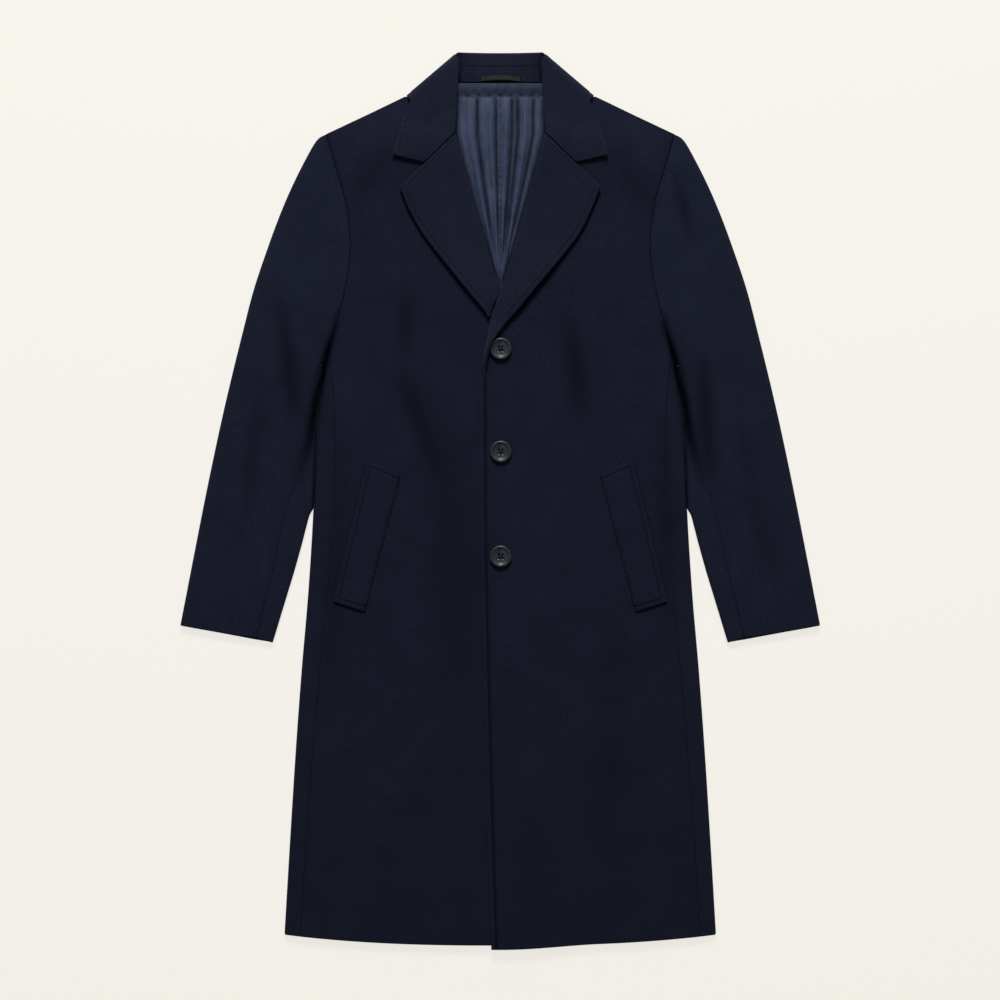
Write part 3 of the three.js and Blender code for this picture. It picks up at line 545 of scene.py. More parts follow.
def centre_edge(i):
    """Centre edge of a front for row values: neck, roll line, then front edge."""
    roll = roll_line((i - 1) / (ARM_STEPS - 1))
    roll[:, 0] += wall_inset(roll[:, 1])
    first = roll_line(np.zeros(1))[0]
    neck_end = np.array([first[0] + wall_inset(first[1]), first[1]])
    neck = mix(np.array(NECK_POINT, float), neck_end, i[:, None])
    lower_start = roll_line(np.ones(1))[0]
    lower_start = np.array([lower_start[0] + wall_inset(lower_start[1]), lower_start[1]])
    edge = front_edge((i - ARM_STEPS - 0.12) / (SEAM_STEPS - 0.12))
    join = smooth(0, 0.16, i - ARM_STEPS)[:, None]
    below = mix(lower_start, edge, join)
    return np.where(i[:, None] < 1, neck, np.where(i[:, None] > ARM_STEPS, below, roll))


def side_edge(i, arm, at, seam):
    return np.where(
        i[:, None] <= ARM_STEPS, arm(at * i / ARM_STEPS), seam((i - ARM_STEPS) / SEAM_STEPS)
    )


def body_rows(count, near_start, near_end, length=1085):
    mm = ends(count, near_start, near_end, length) * length
    return np.interp(mm, [0, 345, length], [0, ARM_STEPS, ARM_STEPS + SEAM_STEPS])


def shoulder_bow(share, end):
    across = mix(SHOULDER_POINT[0], end[0], share)
    return top_edge_at(across) - mix(SHOULDER_POINT[1], end[1], share)


def panel(i, start, end, shares, neck, hem, side):
    """Points of a front or back panel."""
    p = mix(start[:, None], end[:, None], shares[..., None])
    below = (i - ARM_STEPS)[:, None]
    gap = SEAM_GAP * (1 - shares) * smooth(-0.3, 0, below)
    across = p[..., 0] - gap
    bow = shoulder_bow(shares, neck) * (1 - smooth(0, 1.5, i))[:, None]
    settle = smooth(SEAM_STEPS * 0.6, SEAM_STEPS, below)
    down = p[..., 1] + (hem(across[-1]) - p[-1, :, 1])[None] * settle + bow
    return np.stack([side * across, down], -1)


def front(side):
    i = body_rows(250, SEAM_FINE, EDGE_FINE)
    start, end = side_edge(i, armhole, FRONT_SEAM_AT, front_seam), centre_edge(i)
    width = np.linalg.norm(end - start, axis=1)
    shares = row_shares(width, SEAM_FINE, STITCH_FINE, 46)
    sag = (lambda a: HEM_SAG * (1 - smooth(0, 130, a))) if side > 0 else (lambda a: 0)
    points = panel(i, start, end, shares, NECK_POINT, lambda a: hem_at(a) + sag(a), side)
    left, right, first, last = distances(points)
    below = smooth(392, 402, points[..., 1])
    detail = stitched_edge(right) * below
    # Painted shade: dark holds painted shade in the side seam and the front's stitch line, painted shadows
    # beside the lapel and the welt, and painted shade in the sleeve valley and the creases.
    seam = left + 0.7 * below
    line = np.where(right < STITCH_IN, 2.2, 0.6) * np.abs(right - STITCH_IN)
    dark = np.minimum(np.minimum(seam, first), line - 0.7 + 4 * (1 - below))
    x, down = points[..., 0], points[..., 1]
    dark = np.minimum(dark, np.minimum(lapel_shade(side, x, down), welt_shade(side * x, down)))
    dark = np.minimum(dark, 1.9 - 1.45 * valley_at(x, down) + 0.9 * np.minimum(0, crease_at(x, down)))
    detail -= 0.35 * smooth(1, 4, left) * (1 - smooth(9, 16, left))
    detail -= 0.08 * np.sin(points[..., 1] / 2.6) * np.exp(-left / 5)
    detail += groove(last, 38, 2.2, 0.18)
    height = lambda x, down: top_of_side(side)(x, down) - WOOL
    name = "front_left" if side > 0 else "front_right"
    return laid(name, points, height, WOOL, lower=WOOL + 0.15, detail=detail, dark=dark, joined=0.75 * below)


def back(side):
    i = body_rows(110, EDGE_FINE, EDGE_FINE)
    share_down = np.interp(i, [0, ARM_STEPS + SEAM_STEPS], [0, 1])
    start = side_edge(i, back_armhole, BACK_SEAM_AT, back_seam)
    end = np.stack([np.full_like(i, SEAM_GAP / 2), mix(NECK_DEPTH, HEM_MIDDLE, share_down)], -1)
    width = np.linalg.norm(end - start, axis=1)
    shares = row_shares(width, SEAM_FINE, SEAM_FINE, 26)
    neck = (SEAM_GAP / 2, NECK_DEPTH)
    points = panel(i, start, end, shares, neck, lambda a: hem_at(a) - BACK_HEM_INSET, side)
    name = "back_left" if side > 0 else "back_right"
    return laid(name, points, back_lift, WOOL, low_round=1.3)


def half_turn(count):
    angle = np.linspace(0, math.pi, count)
    return angle, np.sin(angle), np.cos(angle)


def side_panel(side):
    t = ends(150, SEAM_FINE, EDGE_FINE, 745)
    fold = fold_line(t)
    flat = fold - np.array([RADIUS, 0])
    start = smooth(0, 1 / SEAM_STEPS, t)[:, None, None]
    low_share = np.linspace(0, 1, 40)[:-1]
    lower = mix(
        back_armhole(mix(BACK_SEAM_AT, 1, low_share))[None],
        mix(back_seam(t)[:, None], flat[:, None], low_share[None, :, None]),
        start,
    )
    high_share = ends(40, (0, 0.6), SEAM_FINE, 23)[1:]
    upper = mix(
        armhole(mix(1, FRONT_SEAM_AT, high_share))[None],
        mix(flat[:, None], front_seam(t)[:, None], high_share[None, :, None]),
        start,
    )
    _, sine, cosine = half_turn(15)
    count = len(t)
    outer, inner = [], []
    outer.append(np.concatenate([lower, np.zeros((count, len(low_share), 1))], -1))
    inner.append(np.concatenate([lower, np.full((count, len(low_share), 1), WOOL)], -1))
    for r, rows in ((RADIUS, outer), (RADIUS - WOOL, inner)):
        across = flat[:, :1] + r * sine[None]
        down = np.repeat(fold[:, 1:], len(sine), 1)
        z = np.repeat(RADIUS - r * cosine[None], count, 0)
        rows.append(np.stack([across, down, z], -1))
    z = front_top(side * upper[..., 0], upper[..., 1])
    z = mix(FOLD_HEIGHT, z, smooth(0, 0.8, high_share)[None])
    outer.append(np.concatenate([upper, z[..., None]], -1))
    inner.append(np.concatenate([upper, np.maximum(z - WOOL, WOOL + 0.15)[..., None]], -1))
    outer, inner = np.concatenate(outer, 1), np.concatenate(inner, 1)
    settle = smooth(0.6, 1, t)[:, None]
    begin = 0.015 * (1 - smooth(0, 0.02, t))[:, None]
    for points in (outer, inner):
        hem = hem_at(points[-1, :, 0]) - BACK_HEM_INSET * (1 - smooth(0, FOLD_HEIGHT, outer[-1, :, 2]))
        points[..., 1] += (hem - points[-1, :, 1])[None] * settle + begin
    run = np.concatenate(
        [np.zeros((count, 1)), np.cumsum(np.linalg.norm(np.diff(outer, axis=1), axis=-1), 1)], 1
    )
    rows = distances(outer)
    from_start = rows[2] + 50 * ((outer[..., 2] > 0.05) & (outer[..., 2] < FOLD_HEIGHT - 0.05))
    sewn = 0.75 * smooth(392, 410, outer[..., 1])
    d = np.minimum(np.minimum(run, run[:, -1:] - run + sewn), np.minimum(from_start, rows[3]))
    # Painted shade in the seams and in the hollow beside the sleeve.
    off_fold = np.interp(outer[..., 1], FOLD_LINE[:, 1], FOLD_LINE[:, 0]) - outer[..., 0]
    seam = np.minimum(run, run[:, -1:] - run) + 0.9 * sewn
    dark = np.minimum(seam, hollow_shade(side * outer[..., 0], outer[..., 1], off_fold))
    pull = rounding(d, 1.4)[..., None] * normals(outer, inner)
    push = rounding(d, 1.1)[..., None] * normals(outer, inner)
    outer, inner = outer - pull, inner + push
    outer[..., 0] *= side
    inner[..., 0] *= side
    name = "side_left" if side > 0 else "side_right"
    return shell(name, outer, inner, np.stack([run, rows[2]], -1), dark)


def normals(outer, inner):
    """Unit vectors from the inner to the outer grid."""
    n = outer - inner
    return n / np.maximum(1e-6, np.linalg.norm(n, axis=-1, keepdims=True))


# Sleeves

sleeve_outer = path(SLEEVE, "outer", "outer_down")
sleeve_down = spline(SLEEVE["inner_down"])
sleeve_seam = spline(SLEEVE["seam"])


def sleeve_inner(t):
    down = sleeve_down(t)
    gap = np.interp(down, SLEEVE_GAP["down"], SLEEVE_GAP["gap"])
    return np.stack([np.interp(down, FOLD_LINE[:, 1], FOLD_LINE[:, 0]) + gap, down], -1)


SLEEVE_START = sleeve_outer(np.zeros(1))[0], sleeve_inner(np.zeros(1))[0]


def sleeve_place(t, share, high):
    """Places of sleeve points, one row for each t: high is 0 on the lower side and 1 on the upper."""
    chord = mix(sleeve_outer(t)[:, None], sleeve_inner(t)[:, None], share[..., None])
    fade = ((1 - smooth(0, 0.45, t)) ** 1.5)[:, None, None]
    start = mix(SLEEVE_START[0], SLEEVE_START[1], share[..., None])
    clipped = np.clip(share, 0, 1)
    seam = mix(back_armhole(clipped), armhole(clipped), high[..., None])
    return chord + (seam + np.array([ARM_GAP, 0]) - start) * fade


def sleeve_width(t):
    return np.linalg.norm(sleeve_outer(t) - sleeve_inner(t), axis=-1)


def sleeve_height(t, share, place, side):
    width = sleeve_width(t)[:, None]
    edge = np.minimum(share, 1 - share) * width
    t = t[:, None]
    cuff = 0.3 + 0.7 * rise((1 - t) * 400, 35)
    x = side * place[..., 0]
    soft = crease_at(x, place[..., 1]) + 0.3 * uneven(x, place[..., 1])
    own = FOLD_HEIGHT + PUFF * rise(edge, 20) * cuff + soft * rise(edge, 12) * cuff
    body = front_top(side * (place[..., 0] - ARM_GAP), place[..., 1])
    head = 1.0 * smooth(0, 0.02, t) * (1 - smooth(0.03, 0.12, t)) * rise(edge, 25)
    own = own - valley_at(x, place[..., 1])
    return mix(body, own, smooth(0, 0.1, t)) + head


def beside_fold(t, distance, span=0.03):
    """Places at distances from the inner fold into the sleeve: one row of distances for each t."""
    reach = (span - 0.03) * smooth(0, 0.1, 1 - t)
    fold = sum(sleeve_inner(t + k * reach) for k in (-1, -0.5, 0, 0.5, 1))[:, None] / 5
    along = sleeve_inner(t + span) - sleeve_inner(t - span)
    along = along / np.linalg.norm(along, axis=-1, keepdims=True)
    square = np.stack([along[:, 1], -along[:, 0]], -1)
    settle = smooth(0, 0.05, t)[:, None]
    return fold + mix(np.array([0.35, -0.94]), square, settle)[:, None] * distance[..., None]


def sleeve(side, is_top):
    t = ends(150, SEAM_FINE, EDGE_FINE, 560)
    width = sleeve_width(t)
    seam = sleeve_seam(t)
    settle = smooth(0, 0.1, t)
    seam_share = mix(FRONT_SEAM_AT, 1 - seam / width, settle)[:, None]
    gap = SEAM_GAP / 2
    back_at = BACK_SEAM_AT * 3 / ARM_STEPS
    _, sine, cosine = half_turn(15)
    count = len(t)
    ones = np.ones((count, 1))
    turn_z = ones * (RADIUS - RADIUS * cosine)
    turn_z_in = ones * (RADIUS - (RADIUS - WOOL) * cosine)
    inward, inward_in = ones * (RADIUS * (1 - sine)), ones * (RADIUS - (RADIUS - WOOL) * sine)
    edge = (RADIUS / width)[:, None]

    def seam_at(gap):
        armhole_end = sleeve_place(t, (FRONT_SEAM_AT + gap / width)[:, None], ones)
        return mix(armhole_end, beside_fold(t, (seam - gap)[:, None], 0.12), settle[:, None, None])

    def level(share, high):
        return sleeve_place(t, share, ones * np.full(share.shape[1], high))

    def turn_place(inward):
        high = (turn_z > RADIUS).astype(float)
        return sleeve_place(t, inward / width[:, None], high)

    if is_top:
        low = level(mix(ones * back_at - gap / width[:, None], edge, np.linspace(0, 1, 14)[:-1]), 0.0)
        turn, turn_in = turn_place(inward), turn_place(inward_in)
        span = (seam_share - edge)[:, 0] * width
        share = mix(edge, seam_share, row_shares(span, (0, 0.8), SEAM_FINE, 44)[:, 1:])
        draw = (share / seam_share)[..., None] ** 3
        high = level(share, 1.0) + (seam_at(-gap) - level(seam_share, 1.0)) * draw
    else:
        last = BACK_SEAM_AT * ones
        low = level(mix(ones * back_at + gap / width[:, None], last, np.linspace(0, 1, 30)[:-1]), 0.0)
        turn, turn_in = beside_fold(t, inward), beside_fold(t, inward_in)
        steps = np.linspace(0, 1, 6)[:-1]
        low = np.concatenate([low, mix(level(last, 0.0), turn[:, :1], steps[None, :, None])], 1)
        strip = row_shares(seam - RADIUS, (0, 0.5), SEAM_FINE, 40)[:, 1:]
        share = mix(1 - edge, seam_share, strip)
        high = mix(turn[:, -1:], seam_at(gap), strip[..., None])
        snug = (1 - smooth(0, 0.025, t))[:, None, None]
        along = armhole(mix(1, FRONT_SEAM_AT, strip)) + np.array([ARM_GAP, 0])
        end = armhole(np.ones(1)) + np.array([ARM_GAP, 0])
        raised = np.clip(turn_z / RADIUS - 1, 0, 1)[..., None]
        turn = turn + (end[None] - turn[:, -1:]) * raised * snug
        turn_in = turn_in + (end[None] - turn_in[:, -1:]) * raised * snug
        high = mix(high, along, snug)
    z_low = np.zeros(low.shape[:2])
    z_high = sleeve_height(t, share, high, side)
    z = np.concatenate([z_low, turn_z, z_high], 1)
    z_in = np.concatenate([z_low + WOOL, turn_z_in, np.maximum(z_high - WOOL, WOOL + 0.15)], 1)
    outer = np.concatenate([np.concatenate([low, turn, high], 1), z[..., None]], -1)
    inner = np.concatenate([np.concatenate([low, turn_in, high], 1), z_in[..., None]], -1)
    run = np.concatenate(
        [np.zeros((count, 1)), np.cumsum(np.linalg.norm(np.diff(outer, axis=1), axis=-1), 1)], 1
    )
    rows = distances(outer)
    from_start = rows[2] + 50 * ((outer[..., 2] > 0.05) & (outer[..., 2] < FOLD_HEIGHT - 0.05))
    sewn = 0.5 * smooth(0.05, 0.15, t)[:, None]
    seam = np.minimum(run, run[:, -1:] - run) + sewn
    d = np.minimum(seam, np.minimum(from_start, rows[3]))
    way = normals(outer, inner)
    fold_x = sleeve_inner(t)[:, :1] + 0.06 * np.maximum(0, outer[..., 1] - sleeve_inner(t)[:, 1:])
    # Painted shade in the seams and in the hollow beside the body.
    dark = np.minimum(0.55 * (seam - sewn) + 1.6 * sewn, rows[2])
    dark = np.minimum(dark, hollow_shade(side * outer[..., 0], outer[..., 1], outer[..., 0] - fold_x))
    ditch = rounding(d, 1.4) + groove(rows[3], 40, 2.2, 0.12)
    outer, inner = outer - ditch[..., None] * way, inner + rounding(d, 1.1)[..., None] * way
    outer[..., 0] *= side
    inner[..., 0] *= side
    name = ("sleeve_top_" if is_top else "sleeve_under_") + ("left" if side > 0 else "right")
    return shell(name, outer, inner, np.stack([run, rows[2]], -1), dark)


# Lapels


def over_button(down):
    return (BUTTON_HEIGHT + 0.6) * np.exp(-(((down - BUTTONS_DOWN[0] + 6) / 20) ** 2))


def lapel_lift(side, down, share):
    """How far a lapel's free edge stands off the front."""
    tip = 1.2 * np.exp(-(((down - 178) / 30) ** 2))
    low = (3.4 if side > 0 else 1.8) * np.exp(-(((down - 300) / 42) ** 2))
    return (1.7 * (1 - smooth(330, 372, down)) + tip + low) * smooth(0.15, 1, share)


def facing(side):
    rows = LAPEL_ROWS if side > 0 else UNDER_LAPEL_ROWS
    top = top_of_side(side)
    t = ends(130, STITCH_FINE, (0, 0.3, 0.8, 1.6, 3), 330)
    roll, edge = path(rows, "roll", "roll_down")(t), path(rows, "edge", "edge_down")(t)
    edge[:, 0] += spline(rows["belly"])(t)
    turned = np.clip(spline(rows["turn"])(t), 0, 1)
    width = np.linalg.norm(edge - roll, axis=1)
    radius = np.minimum(LAPEL - 0.6, 0.4 * width)
    wall = np.minimum(0.4 * width, mix(ROLL_WALL, 0.8, smooth(350, 400, roll[:, 1])))
    flat = row_shares(width - radius, STITCH_FINE, (0, 2, 5), 26)
    from_edge = flat * (width - radius)[:, None]
    angle = np.linspace(0, math.pi / 2, 10)[1:]
    quarter = (width - radius)[:, None] + radius[:, None] * np.sin(angle)[None]
    drop_steps = np.array([0.35, 0.7, 1])
    still = np.repeat(width[:, None], len(drop_steps), 1)
    reach = np.concatenate([from_edge, quarter, still], 1)
    share = 1 - reach / width[:, None]
    reach_in = np.minimum(
        np.concatenate([from_edge, quarter, still], 1), (width - wall)[:, None]
    )
    share_in = 1 - reach_in / width[:, None]
    fall = np.concatenate(
        [
            np.zeros_like(from_edge),
            radius[:, None] * (1 - np.cos(angle))[None],
            np.repeat(radius[:, None], len(drop_steps), 1),
        ],
        1,
    )
    steps = np.concatenate([np.zeros(from_edge.shape[1] + len(angle)), drop_steps])
    place = mix(roll[:, None], edge[:, None], share[..., None])
    place_in = mix(roll[:, None], edge[:, None], share_in[..., None])
    down = place[..., 1]
    stand = over_button(down) * smooth(0, 0.5, share) if side > 0 else 0
    lift = lapel_lift(side, down, share)
    crest = 1.0 * np.exp(-(((share * width[:, None] - 9) / 13) ** 2)) * smooth(0, 30, width)[:, None]
    base = top(side * place[..., 0], down) + LAY_GAP + stand + lift
    ending = smooth(0.9, 1, t)[:, None] if side > 0 else 0
    high = base + LAPEL + crest - fall
    flush = top(side * place[..., 0], down) + 0.5 - 0.8 * rounding(share * width[:, None] + 0.3, 1.5)
    high = mix(high, flush, ending)
    floor_z = top(side * place[..., 0], down) + mix(LAY_GAP, -WOOL + 0.3, turned[:, None])
    z = mix(high, floor_z, steps[None])
    base_in = top(side * place_in[..., 0], place_in[..., 1]) + LAY_GAP
    stand_in = over_button(place_in[..., 1]) * smooth(0, 0.5, share_in) if side > 0 else 0
    low = base_in + stand_in + lapel_lift(side, place_in[..., 1], share_in)
    low = mix(low, top(side * place_in[..., 0], place_in[..., 1]) + 0.1, ending)
    low_drop = top(side * place_in[..., 0], place_in[..., 1]) + mix(
        LAY_GAP, -WOOL + 0.3, turned[:, None]
    )
    z_in = mix(low, low_drop, steps[None])
    outer = np.concatenate([place, z[..., None]], -1)
    inner = np.concatenate([place_in, z_in[..., None]], -1)
    _, _, first, last = distances(outer)
    d = np.minimum(reach, np.minimum(first, last + 1)) + 1.5 * ending
    marks = stitched_edge(np.minimum(reach, first + 1000 * (share < 0.1)))
    outer[..., 2] -= rounding(d, 1.7) + marks * (1 - steps)[None] * smooth(4, 20, width)[:, None]
    inner[..., 2] += rounding(d, 1.2)
    outer[..., 0] *= side
    inner[..., 0] *= side
    run = np.concatenate(
        [np.zeros((len(t), 1)), np.cumsum(np.linalg.norm(np.diff(outer, axis=1), axis=-1), 1)], 1
    )
    name = "facing_left" if side > 0 else "facing_right"
    # Painted shade in the topstitch groove.
    line_reach = np.minimum(reach, first + 1000 * (share < 0.1))
    dark = line_shade(line_reach, 4 * (1 - smooth(4, 20, width))[:, None])
    return shell(name, outer, inner, np.stack([run, first], -1), dark)


def lapel_face(x, down):
    """Height of the left lapel's face near its tip."""
    return upper_top(x, down) + LAY_GAP + LAPEL + 1.3


# Collar


def leaf_rest(across, down):
    shown = np.maximum(down, top_edge_at(across) + 30)
    return np.maximum(front_top(across, shown), FOLD_HEIGHT + WOOL + 0.4)


def collar_leaf():
    width_mm = 78.0
    v_mm = np.concatenate([[0], ends(16, (1, 4), STITCH_FINE, width_mm)[1:] * width_mm])
    v = v_mm / width_mm
    radius = 2.6
    angle = np.linspace(math.pi / 2, 0, 9)
    v_turn = radius * (1 - np.sin(angle)) / width_mm
    v_all = np.concatenate([np.zeros(3), v_turn, v[v > v_turn[-1] + 0.004]])
    fall = np.concatenate(
        [np.full(3, radius), radius * (1 - np.cos(angle)), np.zeros(len(v_all) - 12)]
    )
    drop = np.concatenate([[1, 0.66, 0.33], np.zeros(len(v_all) - 3)])
    v_in = np.maximum(v_all, 2.2 / width_mm)

    def half(v_row, is_outer):
        lower = mix(np.array(GORGE_TOP, float), np.array(NOTCH, float), (v_row / NOTCH_AT)[:, None])
        upper = mix(
            np.array(NOTCH, float),
            np.array(COLLAR_TIP, float),
            ((v_row - NOTCH_AT) / (1 - NOTCH_AT))[:, None],
        )
        end = np.where(v_row[:, None] < NOTCH_AT, lower, upper)
        fold = mix(np.array(COLLAR_TOP, float), np.array(COLLAR_SIDE, float), v_row[:, None])
        along = np.array(COLLAR_SIDE, float) - np.array(COLLAR_TOP, float)
        out = np.array([along[1], -along[0]]) / np.linalg.norm(along)
        rest = leaf_rest(fold[:, 0], fold[:, 1])
        height = rest + LAY_GAP + COLLAR
        r = height / 2
        inside = fold - out * r[:, None]
        s = ends(36, SEAM_FINE, (0, 2, 6), 90)[:-1]
        front = mix(end[:, None], inside[:, None], s[None, :, None])
        bow = 1.2 * v_row[:, None] * np.sin(math.pi * s)[None]
        front[..., 0] += bow
        z = leaf_rest(front[..., 0], front[..., 1]) + LAY_GAP
        crest = 1.2 * np.exp(-((((v_row * width_mm)[:, None] - 8) / 12) ** 2)) * (1 - s[None])
        crest = crest + 0.8 * np.sin(math.pi * s)[None] * np.sin(math.pi * v_row)[:, None]
        loose = smooth(0.35, 1, v_row)[:, None] * np.exp(-((s[None] / 0.16) ** 2))
        z = z + 2.0 * loose + 0.8 * smooth(0.7, 1, v_row)[:, None] * (1 - smooth(0.3, 0.8, s))[None]
        top = z + COLLAR + crest
        turn_angle = np.linspace(0, math.pi, 15)
        rr = r[:, None] if is_outer else r[:, None] - COLLAR
        turn = inside[:, None] + out * (rr * np.sin(turn_angle)[None])[..., None]
        turn_z = r[:, None] + rr * np.cos(turn_angle)[None]
        back_edge = np.stack([np.zeros_like(v_row), mix(COLLAR_TOP[1], LEAF_BACK_DOWN, v_row)], -1)
        s_back = np.linspace(0, 1, 14)[1:]
        back_part = mix(inside[:, None], back_edge[:, None], s_back[None, :, None])
        back_z = np.full(back_part.shape[:2], 0.0 if is_outer else COLLAR)
        xy = np.concatenate([front, turn, back_part], 1)
        zz = np.concatenate([top if is_outer else z, turn_z, back_z], 1)
        share = np.concatenate([s, np.ones(turn.shape[1] + back_part.shape[1])])
        return np.concatenate([xy, zz[..., None]], -1), share

    outer, share = half(v_all, True)
    inner, _ = half(v_in, False)
    front_share = (1 - smooth(0.86, 1, share))[None]
    low = 6.9
    body = outer[..., 2].copy()
    outer[..., 2] = body - fall[:, None] * front_share
    outer[..., 2] = mix(outer[..., 2], low, drop[:, None] * front_share)
    inner[..., 2] = mix(inner[..., 2], low, (drop[:, None] > 0) * drop[:, None] * front_share)
    columns = outer.shape[1]
    from_outer_edge = ((1 - v_all) * width_mm)[:, None] * np.ones((1, columns))
    from_end = np.concatenate(
        [
            np.zeros((len(v_all), 1)),
            np.cumsum(np.linalg.norm(np.diff(outer[..., :2], axis=1), axis=-1), 1),
        ],
        1,
    )
    is_notch = (v_all > NOTCH_AT)[:, None]
    d = np.minimum(from_outer_edge, from_end)
    line = np.where(is_notch, d, from_outer_edge)
    marks = stitched_edge(line)
    # Painted shade in the topstitch groove.
    dark = line_shade(line, 4 * np.ones((len(v_all), 1)) * (share > 0.97)[None])
    way = normals(outer, inner)
    flat_way = np.zeros_like(way)
    flat_way[..., 2] = 1
    is_front = (share < 1)[None, :, None]
    way = np.where(is_front, flat_way, way)
    outer = outer - (rounding(d, 1.6) + marks * (drop[:, None] == 0))[..., None] * way
    inner = inner + rounding(d, 1.1)[..., None] * way
    mirrored = lambda g: np.concatenate([g * np.array([-1, 1, 1]), g[:, -2::-1]], 1)
    outer, inner = mirrored(outer), mirrored(inner)
    dark = np.concatenate([dark, dark[:, -2::-1]], 1)
    run = np.concatenate(
        [
            np.zeros((len(v_all), 1)),
            np.cumsum(np.linalg.norm(np.diff(outer, axis=1), axis=-1), 1),
        ],
        1,
    )
    uv = np.stack([run, (v_all * width_mm)[:, None] * np.ones_like(run)], -1)
    return shell("collar_leaf", outer, inner, uv, dark)


def collar_return():
    height = 2 * WOOL + 0.4
    share = np.linspace(-1, 1, 70)
    x = 57.5 * share
    top = 1.1 * (1 - share**2) - 1.7 + 2.6 * smooth(0.93, 1, np.abs(share)) ** 2
    angle = np.linspace(0, math.pi, 13)
    r = height / 2
    start = np.array([12, 9, 6])
    end = np.array([5, 7, 9, 11, 13, 14.6, 15.6, 16.2, RETURN_DOWN])

    def line(radius, low, high):
        fold = r - radius * np.sin(angle)
        fold_z = r - radius * np.cos(angle)
        return np.concatenate([start, fold, end]), np.concatenate(
            [np.full(3, low), fold_z, np.full(len(end), high)]
        )

    grids = []
    for radius, low, high in ((r, 0.02, height), (r - WOOL, WOOL, height - WOOL)):
        down, z = line(radius, low, high)
        grid = np.zeros((len(x), len(down), 3))
        grid[..., 0] = x[:, None]
        near_top = (1 - smooth(3, 16, down))[None]
        grid[..., 1] = down[None] + top[:, None] * near_top
        grid[..., 2] = z[None]
        grids.append(grid)
    outer, inner = grids
    on_top = np.arange(outer.shape[1]) > 12
    outer[..., 2] += 0.25 * uneven_fine(outer[..., 0] * 2, outer[..., 1]) * on_top[None]
    last = np.maximum(0, RETURN_DOWN - outer[..., 1])
    outer[..., 2] -= rounding(last, 0.5) * on_top[None]
    inner[..., 2] += rounding(last, 1.0) * on_top[None]
    run = np.cumsum(np.linalg.norm(np.diff(outer, axis=1, prepend=outer[:, :1]), axis=-1), 1)
    uv = np.stack([outer[..., 0], run], -1)
    # Painted shade over the whole return, deepest at its ends under the leaf's roll, and along its seam to
    # the stand.
    beside = 57.5 - np.abs(outer[..., 0])
    dark = np.minimum(np.minimum(1.3 + 0.02 * beside, 0.2 * beside - 1.0), 0.5 * last + 1.2)
    return shell("collar_return", outer, inner, uv, dark)


def collar_stand():
    rows = ends(14, SEAM_FINE[:7], SEAM_FINE[:7], 20.3)
    share = np.linspace(-1, 1, 70)
    down = mix(RETURN_DOWN + SEAM_GAP, NECK_DEPTH - 0.5, rows)
    points = np.zeros((len(rows), len(share), 2))
    points[..., 0] = share[None] * mix(54, 66, rows)[:, None]
    points[..., 1] = down[:, None]
    bump = -0.3 * uneven_fine(points[..., 0] * 2, points[..., 1])
    _, _, first, last = distances(points)
    # Painted shade over the whole stand, deepest at its sides under the leaf's roll, and along its seams.
    beside = 57.6 - np.abs(points[..., 0])
    side_dark = np.minimum(1.2 + 0.02 * beside, 0.24 * beside - 1.2)
    dark = np.minimum(side_dark, np.minimum(0.5 * first + 1.2, last - 0.6))
    height = lambda x, d: 3.4 + 0 * x
    return laid("collar_stand", points, height, WOOL, top_round=0.6, detail=bump, dark=dark)


# What lies on the panels


def tuck_at(x):
    """Where the gathers of the lining are drawn in under its top band."""
    return 53.5 + 1.3 * np.sin(x / 4.3) + 0.8 * np.sin(x / 2.1 + 2)


def lining_height(x, down):
    roll = np.maximum(4, roll_at(down))
    opened = 1 - smooth(0.55, 1.05, np.abs(x) / roll)
    ease = smooth(NECK_DEPTH + 4, NECK_DEPTH + 62, down) * (1 - smooth(240, 310, down))
    taper = roll / LAPEL_ROWS["roll"][0]
    fold = 0
    f = LINING_FOLDS
    for a, w, h in zip(f["across"], f["width"], f["height"]):
        fold = fold + h * np.exp(-(((x - a * taper) / (w * mix(0.6, 1, taper))) ** 2))
    fold = fold + 0.25 * uneven_fine(x * 2.2, down * 0.5)
    band = np.exp(-(((down - 45) / 4.6) ** 2)) * (0.7 + 0.25 * np.sin(x / 5.1) * np.sin(x / 3.2 + 1))
    tuck = np.exp(-((down - tuck_at(x)) ** 2) / 10) * 0.5
    pucker = 0.4 * np.sin(x / 2.3 + np.sin(x / 7)) * np.exp(-(((down - 53) / 8) ** 2))
    seam = 0.9 * np.exp(-((x / 1.1) ** 2)) * smooth(57, 66, down)
    lift = back_lift(x, down)
    top = WOOL + 1.3 + lift + 0.6 * opened + fold * opened * ease + band - tuck + pucker - seam
    return np.maximum(top, WOOL + 0.25 + lift)


def lining_valley(x, down):
    """1 in the valleys between the lining's folds."""
    taper = np.maximum(4, roll_at(down)) / LAPEL_ROWS["roll"][0]
    total = 0
    for a, w, h in zip(LINING_FOLDS["across"], LINING_FOLDS["width"], LINING_FOLDS["height"]):
        if h < 0:
            total = total + np.exp(-(((x - a * taper) / (w * mix(0.6, 1, taper))) ** 2))
    return np.minimum(1, total) * (1 - smooth(200, 290, down)) * smooth(52, 62, down)


